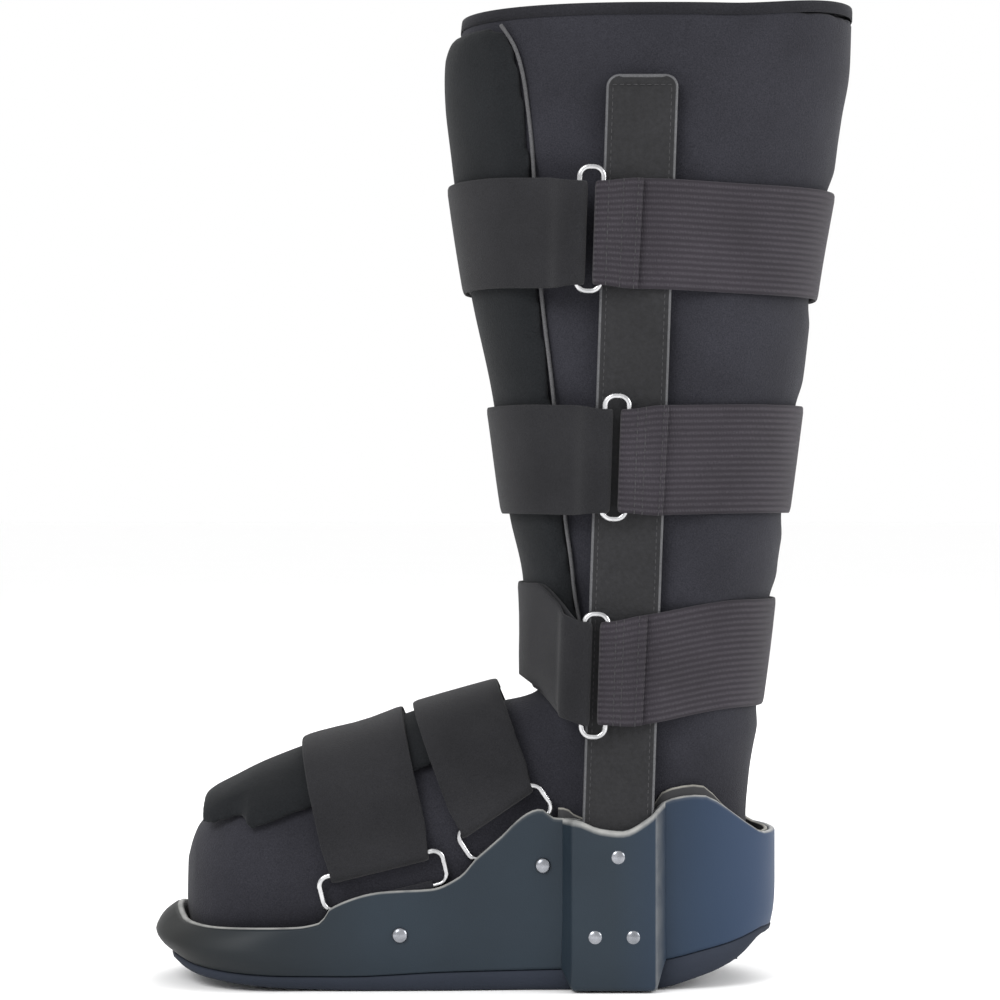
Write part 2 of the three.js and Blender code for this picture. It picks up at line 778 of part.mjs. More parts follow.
function footPadEdgeAngle(x) {
  const row = rowAt([...footPadEdge].reverse(), "along", (ankleX - x) / footReach);
  const base = footPadBase(x);
  const shape = footShape(base.at);
  const height = (row.edge * instepHeight - base.lift - shape.waist) / (shape.top - shape.waist);
  return Math.acos(THREE.MathUtils.clamp(height, 0, 1) ** (footTopPower / 2));
}

const footPadPlaces = footPadEdge
  .concat(footSections)
  .map((row) => row.along)
  .filter((along) => along <= footPadEdge[0].along && along >= footPadEdge.at(-1).along)
  .filter((along, i, all) => all.indexOf(along) === i)
  .sort((a, b) => b - a)
  .map(footX);

function footFlap() {
  const columns = 14;
  const rings = footPadPlaces.map((x) => {
    const reach = footPadEdgeAngle(x);
    const inner = [];
    const outer = [];
    for (let i = 0; i <= columns; i += 1) {
      const share = (i / columns) * 2 - 1;
      const edge = Math.max(0, 1 - Math.max(0, Math.abs(share) - 0.85) / 0.15);
      const thick = mix(0.5, 1, Math.sqrt(edge)) * footPadThickness;
      inner.push(footPadPoint(x, share * reach, footPadSeat));
      outer.push(footPadPoint(x, share * reach, footPadSeat + thick));
    }
    return [...inner, ...outer.reverse()];
  });
  return loft(rings);
}

// Straps

const turnRadius = wireRadius + turn + strapThickness / 2;

// What a strap on the leg lies on at height z, seen from above.
function legPile(z) {
  const pile = [];
  for (let i = 0; i < 72; i += 1) pile.push(legPoint(z, (i / 72) * 2 * Math.PI));
  if (z > shinEdge[0].height * bootHeight - strapWidth / 2) {
    const reach = 0.85 * shinEdgeAngle(z);
    for (let i = -6; i <= 6; i += 1) {
      pile.push(legPoint(z, (i / 6) * reach, padSeat + shinThickness));
    }
  }
  for (const side of [-1, 1]) {
    const inner = uprightInner(z);
    for (const across of [-1, 1]) {
      const x = uprightMiddle(z) + (across * uprightWidth) / 2;
      pile.push(new THREE.Vector3(x - across * uprightEdge, side * (inner + uprightThickness), z));
      pile.push(new THREE.Vector3(x, side * (inner + uprightThickness - uprightEdge), z));
    }
  }
  return pile;
}

// The run of a line of points on which keep() is positive, with its ends worked out between
// two points.
function stretch(points, keep) {
  const run = [];
  for (let i = 0; i < points.length - 1; i += 1) {
    const a = keep(points[i]);
    const b = keep(points[i + 1]);
    if (a > 0) run.push(points[i]);
    if (a > 0 !== b > 0) run.push(points[i].clone().lerp(points[i + 1], a / (a - b)));
  }
  return run;
}

// The same line in equal steps, closer together where it turns. A line from lineRound has more
// points there, and each counts as an extra length.
function evenly(points, count) {
  const extra = 2;
  const lengths = [0];
  for (let i = 1; i < points.length; i += 1) {
    lengths.push(lengths[i - 1] + points[i].distanceTo(points[i - 1]) + extra);
  }
  const whole = lengths.at(-1);
  const even = [];
  let i = 1;
  for (let k = 0; k <= count; k += 1) {
    const wanted = (k / count) * whole;
    while (i < points.length - 1 && lengths[i] < wanted) i += 1;
    const share = (wanted - lengths[i - 1]) / Math.max(lengths[i] - lengths[i - 1], 1e-6);
    even.push(points[i - 1].clone().lerp(points[i], share));
  }
  return even;
}

// A line round a pile: in each direction the outermost point, moved out by a distance.
function lineRound(pileAt, normalAt, out, from, to, steps) {
  const line = [];
  for (let i = 0; i <= steps; i += 1) {
    const angle = mix(from, to, i / steps);
    const normal = normalAt(angle);
    const pile = pileAt(angle);
    let best = pile[0];
    for (const p of pile) if (p.dot(normal) > best.dot(normal)) best = p;
    line.push(best.clone().addScaledVector(normal, out));
  }
  return line;
}

// A strap laid along rows of points, folded outwards round a ring's bar at the end. back is how
// far it returns over itself; over is how far its start lies over what is under it.
// Gives the strap's body and the middle of the bar in each row.
function foldedStrap(wide, back, over, gather, centre) {
  const count = wide[0].length - 1;
  const last = wide.length - 1;
  const step = lengthOf(wide[0]) / count;
  const rows = wide.map((row, k) =>
    row.map((p, i) => {
      const drawn = mix(gather, 1, THREE.MathUtils.smoothstep((count - i) * step, 0, gatherLength));
      const middle = p.clone().lerp(wide[last - k][i], 0.5);
      return middle.lerp(p, drawn);
    }),
  );
  const normals = rows.map((row, k) =>
    row.map((p, i) => {
      const along = row[Math.min(i + 1, count)].clone().sub(row[Math.max(i - 1, 0)]);
      const across = rows[Math.min(k + 1, last)][i].clone().sub(rows[Math.max(k - 1, 0)][i]);
      const normal = along.cross(across).normalize();
      return normal.dot(p.clone().sub(centre)) < 0 ? normal.negate() : normal;
    }),
  );
  const path = [];
  const put = (place) => path.push(rows.map((row, k) => place(row, k)));
  for (let i = 0; i <= count; i += 1) {
    const raised = over > 0 ? THREE.MathUtils.clamp((over - i * step) / 8 + 1, 0, 1) : 0;
    const lift = raised * (strapThickness + seat);
    put((row, k) => ({
      at: row[i].clone().addScaledVector(normals[k][i], lift),
      side: normals[k][i].clone().negate(),
    }));
  }
  const bars = rows.map((row, k) => row[count].clone().addScaledVector(normals[k][count], turnRadius));
  for (let s = 1; s <= 5; s += 1) {
    const angle = (s / 6) * Math.PI;
    put((row, k) => {
      const ahead = row[count].clone().sub(row[count - 1]).normalize();
      const side = ahead.multiplyScalar(Math.sin(angle)).addScaledVector(normals[k][count], -Math.cos(angle));
      return { at: bars[k].clone().addScaledVector(side, turnRadius), side };
    });
  }
  for (let i = count; i >= 0 && (count - i) * step <= back; i -= 1) {
    const near = 1 - THREE.MathUtils.smoothstep((count - i) * step, 0, 14);
    const lift = mix(strapThickness + seat, 2 * turnRadius, near);
    put((row, k) => ({
      at: row[i].clone().addScaledVector(normals[k][i], lift),
      side: normals[k][i],
    }));
  }
  const rings = path.map((spots) => {
    const move = (spot, out) => spot.at.clone().addScaledVector(spot.side, out);
    const inner = spots.map((spot) => move(spot, -strapThickness / 2));
    const outer = spots.map((spot) => move(spot, strapThickness / 2));
    return [...inner, ...outer.reverse()];
  });
  return { geometry: loft(rings), bars };
}

function lengthOf(points) {
  let sum = 0;
  for (let i = 1; i < points.length; i += 1) sum += points[i].distanceTo(points[i - 1]);
  return sum;
}

const strapRows = [-0.5, 0.5];
const onTop = strapSeat + strapThickness / 2;
const ringSpan = 0.9; // how far a strap lies flat either side of a ring's middle, in ring widths
const aroundLeg = (angle) => new THREE.Vector3(-Math.cos(angle), -Math.sin(angle), 0);

// The place at height z under a bar of a leg strap's ring, level with the upright's face.
function ringRest(strap, share, z) {
  const x = strap.ringX + share * legRingWidth + uprightLean * (z - strap.middle);
  return new THREE.Vector3(x, -uprightInner(z) - uprightThickness, z);
}

// A strap on the leg, in front of or behind its ring.
function legStrap(strap, front) {
  const rows = strapRows.map((share) => {
    const height = (angle) => {
      const rise = Math.cos(angle) > 0 ? strap.frontRise : strap.backRise;
      return strap.middle + share * strapWidth + rise * Math.cos(angle) ** 2;
    };
    const pileAt = (angle) => {
      const z = height(angle);
      return [...legPile(z), ringRest(strap, -ringSpan, z), ringRest(strap, ringSpan, z)];
    };
    const turns = front ? [-Math.PI, Math.PI] : [2 * Math.PI, 0];
    const line = lineRound(pileAt, aroundLeg, onTop, ...turns, 90);
    const ringX = ringRest(strap, front ? -0.5 : 0.5, strap.middle + share * strapWidth).x;
    const medialX = uprightMiddle(strap.middle) + (front ? uprightWidth / 3 : -uprightWidth / 3);
    const keep = (p) => {
      const limit = p.y < 0 ? ringX : medialX;
      return front ? limit - p.x : p.x - limit;
    };
    return evenly(stretch(line, keep), front ? 36 : 28);
  });
  const centre = new THREE.Vector3(ankleX, 0, strap.middle);
  const back = front ? 0.62 * lengthOf(rows[0]) : strap.sewn;
  return foldedStrap(rows, back, front ? 0.8 * uprightWidth : 0, legGather, centre);
}

// A strap over the foot, from inside the shell on the medial side to its ring.
function footStrap(strap) {
  const tilt = rad(strap.tilt);
  const slope = Math.tan(rad(strap.slope));
  const across = new THREE.Vector3(Math.cos(tilt), 0, Math.sin(tilt));
  const up = new THREE.Vector3(-Math.sin(tilt), 0, Math.cos(tilt));
  const origin = new THREE.Vector3(strap.x, 0, strap.z);
  const rows = strapRows.map((share) => {
    const onPlane = (place, angle) => {
      let x = strap.x;
      let point = place(x, angle);
      for (let i = 0; i < 12; i += 1) {
        const off = point.clone().sub(origin).dot(across) - share * strap.width;
        x -= off / across.x;
        point = place(x, angle);
      }
      return point;
    };
    const pile = [];
    for (let i = -30; i <= 30; i += 1) pile.push(onPlane((x, a) => footPoint(x, a), (i / 30) * 2.5));
    for (let i = -8; i <= 8; i += 1) {
      const out = footPadSeat + footPadThickness;
      const place = (x, part) => footPadPoint(x, part * 0.95 * footPadEdgeAngle(x), out);
      pile.push(onPlane(place, i / 8));
    }
    const below = (x) => strap.z + slope * (x - strap.x) - footRingWidth / 2;
    pile.push(onPlane((x) => new THREE.Vector3(x, -roomHalf(x) + footGap - seat, below(x)), 0));
    const around = (angle) =>
      new THREE.Vector3(0, -Math.sin(angle), 0).addScaledVector(up, Math.cos(angle));
    const line = lineRound(() => pile, around, onTop, -0.8 * Math.PI, 0.8 * Math.PI, 80);
    const keep = (p) => {
      if (p.y < 0) return p.z - strap.z - slope * (p.x - strap.x);
      return p.z - (rimHeight(p.x) - 2 * footGap);
    };
    return evenly(stretch(line, keep), 36);
  });
  const centre = new THREE.Vector3(strap.x, 0, strap.z);
  return foldedStrap(rows, 0.55 * lengthOf(rows[0]), 0, footGather, centre);
}

// An oblong ring: a round one drawn out both ways.
function ring(middle, along, across, length, width, corner) {
  const torus = new THREE.TorusGeometry(corner, wireRadius, 6, 16);
  torus.rotateZ(Math.PI / 16);
  const at = torus.attributes.position;
  for (let i = 0; i < at.count; i += 1) {
    const x = at.getX(i);
    const y = at.getY(i);
    at.setX(i, x + Math.sign(x) * (width / 2 - corner));
    at.setY(i, y + Math.sign(y) * (length / 2 - wireRadius - corner));
  }
  const out = new THREE.Vector3().crossVectors(across, along).normalize();
  const side = new THREE.Vector3().crossVectors(along, out).normalize();
  const frame = new THREE.Matrix4().makeBasis(side, along, out).setPosition(middle);
  torus.applyMatrix4(frame);
  return torus;
}

// A webbing tab: round a foot ring's lower bar and down inside the shell, past its rivet.
function ringTab(bar, outward, down) {
  const inside = wireRadius + seat;
  const outside = inside + tabThickness;
  const shape = new THREE.Shape();
  shape.moveTo(-outside, tabReach);
  shape.lineTo(-outside, 0);
  shape.absarc(0, 0, outside, Math.PI, 2 * Math.PI, false);
  shape.quadraticCurveTo(outside, outside, -outside + 2 * tabThickness, 2.4 * outside);
  shape.lineTo(-outside + 2 * tabThickness, tabReach);
  shape.closePath();
  const gap = new THREE.Path();
  gap.absarc(0, 0, inside, 0, 2 * Math.PI, true);
  shape.holes.push(gap);
  const body = new THREE.ExtrudeGeometry(shape, { depth: tabWidth, bevelEnabled: false, curveSegments: 8 });
  body.translate(0, 0, -tabWidth / 2);
  const third = new THREE.Vector3().crossVectors(outward, down);
  body.applyMatrix4(new THREE.Matrix4().makeBasis(outward, down, third).setPosition(bar));
  return body;
}

function rivet(x, z, side, out) {
  const profile = [
    [0, 0],
    [rivetRadius, 0],
    [rivetRadius, 0.25 * rivetHeight],
    [0.72 * rivetRadius, 0.8 * rivetHeight],
    [0, rivetHeight],
  ].map(([r, h]) => new THREE.Vector2(r, h));
  const head = new THREE.LatheGeometry(profile, 10);
  if (side < 0) head.rotateX(Math.PI);
  head.translate(x, side * (out + seat), z);
  return head;
}

// The assembly

add("shell", shell(), "shell");
add("outsole", outsole(), "sole");
add("inner_counter", innerCounter(), "padding");
add("upright_lateral", bar(-1, 0, barHeights, true), "cover");
add("upright_medial", bar(1, 0, barHeights, true), "cover");
add("liner", liner(), "padding");
add("top_binding", topBinding(), "padding");
add("shin_flap", shinFlap(), "padding");
add("shin_piping_lateral", shinPiping(1), "piping");
add("shin_piping_medial", shinPiping(-1), "piping");
add("foot_flap", footFlap(), "padding");

legStraps.forEach((strap, i) => {
  const front = legStrap(strap, true);
  const rear = legStrap(strap, false);
  const low = front.bars[0].clone().add(rear.bars[0]).multiplyScalar(0.5);
  const high = front.bars.at(-1).clone().add(rear.bars.at(-1)).multiplyScalar(0.5);
  const along = high.clone().sub(low).normalize();
  const across = rear.bars[1].clone().sub(front.bars[1]).normalize();
  const middle = low.clone().lerp(high, 0.5).addScaledVector(along, strap.ringRise);
  const width = rear.bars[1].distanceTo(front.bars[1]);
  add(`strap_front_${i + 1}`, front.geometry, "loop");
  add(`strap_rear_${i + 1}`, rear.geometry, "webbing");
  add(`ring_${i + 1}`, ring(middle, along, across, ringLength, width, legRingCorner), "steel");
});

footStraps.forEach((strap, i) => {
  const { geometry, bars } = footStrap(strap);
  const slope = rad(strap.slope);
  const upper = bars[0].clone().lerp(bars[1], 0.5);
  const wall = planNormal(upper.x);
  const outward = new THREE.Vector3(wall.x, -wall.y, 0);
  const along = new THREE.Vector3(wall.y * Math.cos(slope), wall.x * Math.cos(slope), Math.sin(slope));
  const down = along.clone().cross(outward);
  const lower = upper.clone().addScaledVector(down, footRingWidth);
  lower.y = -(roomHalf(lower.x) - footGap + seat + tabThickness + seat + wireRadius);
  const middle = upper.clone().lerp(lower, 0.5);
  const side = lower.clone().sub(upper);
  const width = side.length();
  add(`foot_strap_${i + 1}`, geometry, "loop");
  add(`ring_${i + 4}`, ring(middle, along, side, strap.ring, width, footRingCorner), "steel");
  add(`ring_tab_${i + 1}`, ringTab(lower, outward, down), "webbing");
});

for (const [name, side] of [
  ["lateral", -1],
  ["medial", 1],
]) {
  uprightRivets.forEach((spot, i) => {
    add(`rivet_${name}_${i + 1}`, rivet(housingX - spot.ahead, spot.z, side, housingOut), "steel");
  });
  footStraps.forEach((strap, i) => {
    const [x, z] = strap.rivet;
    add(`rivet_${name}_${i + 4}`, rivet(x, z, side, roomHalf(x) + shellWall), "steel");
  });
}

export default boot;
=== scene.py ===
# Medical walking boot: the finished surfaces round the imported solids.
# The shapes are worked out in millimetres and turned into metres when a mesh is made.
import math

import bmesh
import bpy
import numpy as np
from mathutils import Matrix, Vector, noise


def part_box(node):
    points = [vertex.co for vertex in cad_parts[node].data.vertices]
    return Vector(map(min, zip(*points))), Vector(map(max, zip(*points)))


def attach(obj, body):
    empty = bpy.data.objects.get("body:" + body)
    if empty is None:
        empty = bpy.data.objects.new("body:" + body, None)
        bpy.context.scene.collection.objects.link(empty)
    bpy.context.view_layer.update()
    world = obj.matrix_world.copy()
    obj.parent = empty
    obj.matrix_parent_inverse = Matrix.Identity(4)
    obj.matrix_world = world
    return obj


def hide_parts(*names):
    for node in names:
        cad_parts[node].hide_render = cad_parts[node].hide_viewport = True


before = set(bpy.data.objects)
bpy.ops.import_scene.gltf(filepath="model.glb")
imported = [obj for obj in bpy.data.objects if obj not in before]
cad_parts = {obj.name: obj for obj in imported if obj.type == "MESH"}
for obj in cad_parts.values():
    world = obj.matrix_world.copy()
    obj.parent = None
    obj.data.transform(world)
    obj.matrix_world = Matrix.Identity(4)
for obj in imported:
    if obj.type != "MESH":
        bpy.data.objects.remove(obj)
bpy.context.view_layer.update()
unit = 0.001
scene = bpy.context.scene


# small helpers

def mix(a, b, share):
    return a + (b - a) * share


def smoothStep(low, high, value):
    t = np.clip((value - low) / (high - low), 0, 1)
    return t * t * (3 - 2 * t)


def smoothCurve(places, values):
    # a smooth line through the given values that never swings past them
    xs, ys = np.array(places, float), np.array(values, float)
    rise = np.diff(ys) / np.diff(xs)
    slope = np.zeros(len(xs))
    slope[0], slope[-1] = rise[0], rise[-1]
    for i in range(1, len(xs) - 1):
        if rise[i - 1] * rise[i] > 0:
            slope[i] = 2 * rise[i - 1] * rise[i] / (rise[i - 1] + rise[i])

    def at(x):
        x = np.clip(x, xs[0], xs[-1])
        i = np.clip(np.searchsorted(xs, x) - 1, 0, len(xs) - 2)
        wide = xs[i + 1] - xs[i]
        t = (x - xs[i]) / wide
        start = (2 * t**3 - 3 * t**2 + 1) * ys[i] + (t**3 - 2 * t**2 + t) * wide * slope[i]
        end = (3 * t**2 - 2 * t**3) * ys[i + 1] + (t**3 - t**2) * wide * slope[i + 1]
        return start + end

    return at


def rounded(value, power):
    return np.sign(value) * np.abs(value) ** (2 / power)


def pointsOf(nodeName):
    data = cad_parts[nodeName].data
    co = np.zeros(len(data.vertices) * 3)
    data.vertices.foreach_get("co", co)
    return co.reshape(-1, 3) / unit


def boxOf(nodeName):
    low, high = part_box(nodeName)
    return np.array(low) / unit, np.array(high) / unit


def addObject(name, mesh):
    piece = bpy.data.objects.new(name, mesh)
    scene.collection.objects.link(piece)
    return piece


def applyModifiers(piece):
    bpy.context.view_layer.update()
    graph = bpy.context.evaluated_depsgraph_get()
    made = bpy.data.meshes.new_from_object(piece.evaluated_get(graph))
    piece.modifiers.clear()
    old = piece.data
    piece.data = made
    bpy.data.meshes.remove(old)
    made.name = piece.name


def shadeSmooth(mesh):
    mesh.polygons.foreach_set("use_smooth", [True] * len(mesh.polygons))


def loftMesh(name, rings, loop=False, capAcross=None, uv=None, mark=None):
    # rings is rings x points x 3 in millimetres; uv and mark hold one value for each point
    rings = np.asarray(rings, float)
    count, n = rings.shape[:2]
    faces = []
    for r in range(count if loop else count - 1):
        a, b = r * n, ((r + 1) % count) * n
        faces += [(a + i, a + (i + 1) % n, b + (i + 1) % n, b + i) for i in range(n)]
    if not loop:
        last = (count - 1) * n
        if capAcross is not None:
            for i in range(n // 2):
                pair = (i, (n - i - capAcross) % n, (n - i - 1 - capAcross) % n, i + 1)
                faces.append(tuple(dict.fromkeys(pair)))
                faces.append(tuple(dict.fromkeys(last + k for k in reversed(pair))))
        else:
            faces += [tuple(reversed(range(n))), tuple(range(last, last + n))]
    mesh = bpy.data.meshes.new(name)
    mesh.from_pydata((rings.reshape(-1, 3) * unit).tolist(), [], [f for f in faces if len(f) > 2])
    if mark is not None:
        attribute = mesh.attributes.new("trim", "FLOAT", "POINT")
        attribute.data.foreach_set("value", np.asarray(mark, np.float32).ravel())
    if uv is not None:
        flat = np.asarray(uv, float).reshape(-1, 2)
        index = np.zeros(len(mesh.loops), int)
        mesh.loops.foreach_get("vertex_index", index)
        layer = mesh.uv_layers.new(name="weave")
        layer.data.foreach_set("uv", flat[index].ravel())
    bm = bmesh.new()
    bm.from_mesh(mesh)
    bmesh.ops.recalc_face_normals(bm, faces=bm.faces)
    bm.to_mesh(mesh)
    bm.free()
    shadeSmooth(mesh)
    return mesh


def tubeMesh(name, path, radius, sides=10, loop=False):
    # a round tube along points in millimetres
    path = np.asarray(path, float)
    if loop:
        ahead, behind = np.roll(path, -1, 0), np.roll(path, 1, 0)
    else:
        ahead = np.vstack([path[1:], path[-1:]])
        behind = np.vstack([path[:1], path[:-1]])
    tangent = ahead - behind
    tangent /= np.linalg.norm(tangent, axis=1)[:, None]
    side = np.cross(tangent[0], [0, 0, 1.0])
    if np.linalg.norm(side) < 0.1:
        side = np.cross(tangent[0], [0, 1.0, 0])
    rings = []
    turns = np.linspace(0, 2 * np.pi, sides, endpoint=False)
    for p, t in zip(path, tangent):
        side = side - t * (side @ t)
        side /= np.linalg.norm(side)
        up = np.cross(t, side)
        rings.append(p + radius * (np.outer(np.cos(turns), side) + np.outer(np.sin(turns), up)))
    return loftMesh(name, rings, loop=loop)


def resample(line, count):
    # the same line in equal steps
    steps = np.linalg.norm(np.diff(line, axis=0), axis=1)
    lengths = np.concatenate([[0], np.cumsum(steps)])
    wanted = np.linspace(0, lengths[-1], count)
    return np.stack([np.interp(wanted, lengths, line[:, k]) for k in range(3)], 1)


def relax(line, times):
    line = line.copy()
    for _ in range(times):
        line[1:-1] = 0.25 * line[:-2] + 0.5 * line[1:-1] + 0.25 * line[2:]
    return line


def finishPiece(piece, nodes, material):
    if material is not None:
        piece.data.materials.clear()
        piece.data.materials.append(material)
    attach(piece, "root")
    if nodes:
        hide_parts(*nodes)
    return piece


# materials

def node(tree, kind, sockets=None, **settings):
    made = tree.nodes.new(kind)
    for key, value in settings.items():
        setattr(made, key, value)
    for key, value in (sockets or {}).items():
        if isinstance(value, bpy.types.NodeSocket):
            tree.links.new(value, made.inputs[key])
        else:
            made.inputs[key].default_value = value
    return made


def newMaterial(name, **sockets):
    material = bpy.data.materials.new(name)
    material.use_nodes = True
    shader = material.node_tree.nodes["Principled BSDF"]
    for key, value in sockets.items():
        shader.inputs[key.replace("_", " ")].default_value = value
    return material, material.node_tree, shader


def colorMix(tree, factor, dark, light):
    made = node(tree, "ShaderNodeMix", {0: factor}, data_type="RGBA")
    for socket, value in ((made.inputs[6], dark), (made.inputs[7], light)):
        if isinstance(value, bpy.types.NodeSocket):
            tree.links.new(value, socket)
        else:
            socket.default_value = (*value, 1)
    return made.outputs[2]


def bumpOf(tree, height, strength, distance, before=None):
    sockets = {"Height": height, "Strength": strength, "Distance": distance}
    if before is not None:
        sockets["Normal"] = before
    return node(tree, "ShaderNodeBump", sockets).outputs["Normal"]


def spread(tree, value, low, high, to=(0, 1)):
    sockets = {"Value": value, "From Min": low, "From Max": high, "To Min": to[0], "To Max": to[1]}
    return node(tree, "ShaderNodeMapRange", sockets).outputs["Result"]


def unevenly(tree, value, middle, less, more):
    # a roughness that wanders round its middle value
    return spread(tree, value, 0.3, 0.7, (middle - less, middle + more))


def clothMaterial(name, spec):
    # brushed or woven cloth: fine fibres, a knit or weave under them, and a worn unevenness
    material, tree, shader = newMaterial(
        name, Roughness=spec["roughness"], Sheen_Weight=spec["sheen"], Sheen_Roughness=0.45,
        Specular_IOR_Level=spec["shine"]
    )
    place = node(tree, "ShaderNodeTexCoord").outputs["Object"]
    fibre = node(tree, "ShaderNodeTexNoise",
                 {"Vector": place, "Scale": spec["fibre"], "Detail": 5.0, "Roughness": 0.7})
    cloud = node(tree, "ShaderNodeTexNoise", {"Vector": place, "Scale": 26.0, "Detail": 3.0})
    grain = spread(tree, fibre.outputs["Fac"], 0.32, 0.7)
    color = colorMix(tree, grain, spec["dark"], spec["light"])
    shaded = spread(tree, cloud.outputs["Fac"], 0.3, 0.75, (0.82, 1.16))
    normal = bumpOf(tree, fibre.outputs["Fac"], spec["bump"], 0.0006)
    if spec.get("rib"):
        # ribs along the strap and the finer threads across them
        uv = node(tree, "ShaderNodeUVMap", uv_map="weave").outputs["UV"]
        ribs = node(tree, "ShaderNodeTexWave",
                    {"Vector": uv, "Scale": spec["rib"], "Distortion": 0.25, "Detail": 1.0},
                    bands_direction="Y")
        threads = node(tree, "ShaderNodeTexWave",
                       {"Vector": uv, "Scale": spec["thread"], "Distortion": 1.2, "Detail": 2.0},
                       bands_direction="X")
        color = colorMix(tree, spread(tree, ribs.outputs["Fac"], 0.1, 0.9), spec["dark"], color)
        both = node(tree, "ShaderNodeMath", {0: ribs.outputs["Fac"], 1: threads.outputs["Fac"]},
                    operation="MULTIPLY")
        normal = bumpOf(tree, both.outputs[0], 0.9, spec["ribDepth"], normal)
    elif spec.get("knit"):
        cells = node(tree, "ShaderNodeTexVoronoi", {"Vector": place, "Scale": spec["knit"]})
        normal = bumpOf(tree, cells.outputs["Distance"], 0.3, 0.0004, normal)
    scaled = node(tree, "ShaderNodeVectorMath", {0: color, "Scale": shaded}, operation="SCALE")
    tree.links.new(scaled.outputs["Vector"], shader.inputs["Base Color"])
    tree.links.new(normal, shader.inputs["Normal"])
    return material


def plasticMaterial(name, spec):
    # moulded plastic or rubber with a fine grain, and a painted highlight: a paler edge where the mesh's trim
    # values say so
    material, tree, shader = newMaterial(
        name, Roughness=spec["roughness"], Specular_IOR_Level=spec["shine"])
    place = node(tree, "ShaderNodeTexCoord").outputs["Object"]
    grain = node(tree, "ShaderNodeTexNoise", {"Vector": place, "Scale": spec["grain"], "Detail": 4.0})
    cloud = node(tree, "ShaderNodeTexNoise", {"Vector": place, "Scale": 14.0, "Detail": 4.0})
    highlightBreakup = node(tree, "ShaderNodeTexNoise", {"Vector": place, "Scale": 120.0, "Detail": 6.0})
    color = colorMix(tree, spread(tree, cloud.outputs["Fac"], 0.3, 0.7), spec["dark"], spec["light"])
    if spec.get("heel"):
        # painted reflection: bluer towards the heel, where the rim light is reflected, and darker and duller
        # towards the toe, where less is reflected
        along = node(tree, "ShaderNodeSeparateXYZ", {0: place}).outputs["X"]
        color = colorMix(tree, spread(tree, along, *spec["toeReach"]), spec["toe"], color)
        color = colorMix(tree, spread(tree, along, *spec["heelReach"]), color, spec["heel"])
    # painted highlight: the trim attribute, broken up by noise, mixes in the pale edge colour
    edge = node(tree, "ShaderNodeAttribute", attribute_name="trim")
    paintedHighlight = node(tree, "ShaderNodeMath",
                {0: edge.outputs["Fac"], 1: spread(tree, highlightBreakup.outputs["Fac"], 0.25, 0.6, (0.55, 1))},
                operation="MULTIPLY")
    color = colorMix(tree, paintedHighlight.outputs[0], color, spec["edge"])
    rough = unevenly(tree, cloud.outputs["Fac"], spec["roughness"], 0.05, 0.08)
    tree.links.new(color, shader.inputs["Base Color"])
    tree.links.new(rough, shader.inputs["Roughness"])
    tree.links.new(bumpOf(tree, grain.outputs["Fac"], spec["bump"], 0.0004), shader.inputs["Normal"])
    return material


def metalMaterial(name, spec):
    material, tree, shader = newMaterial(name, Metallic=1.0, Roughness=spec["roughness"])
    place = node(tree, "ShaderNodeTexCoord").outputs["Object"]
    scratch = node(tree, "ShaderNodeTexNoise", {"Vector": place, "Scale": 900.0, "Detail": 4.0})
    tarnish = node(tree, "ShaderNodeTexNoise", {"Vector": place, "Scale": 160.0, "Detail": 3.0})
    color = colorMix(tree, spread(tree, tarnish.outputs["Fac"], 0.3, 0.7), spec["dark"], spec["light"])
    rough = unevenly(tree, scratch.outputs["Fac"], spec["roughness"], 0.06, 0.1)
    tree.links.new(color, shader.inputs["Base Color"])
    tree.links.new(rough, shader.inputs["Roughness"])
    tree.links.new(bumpOf(tree, scratch.outputs["Fac"], 0.15, 0.0002), shader.inputs["Normal"])
    return material


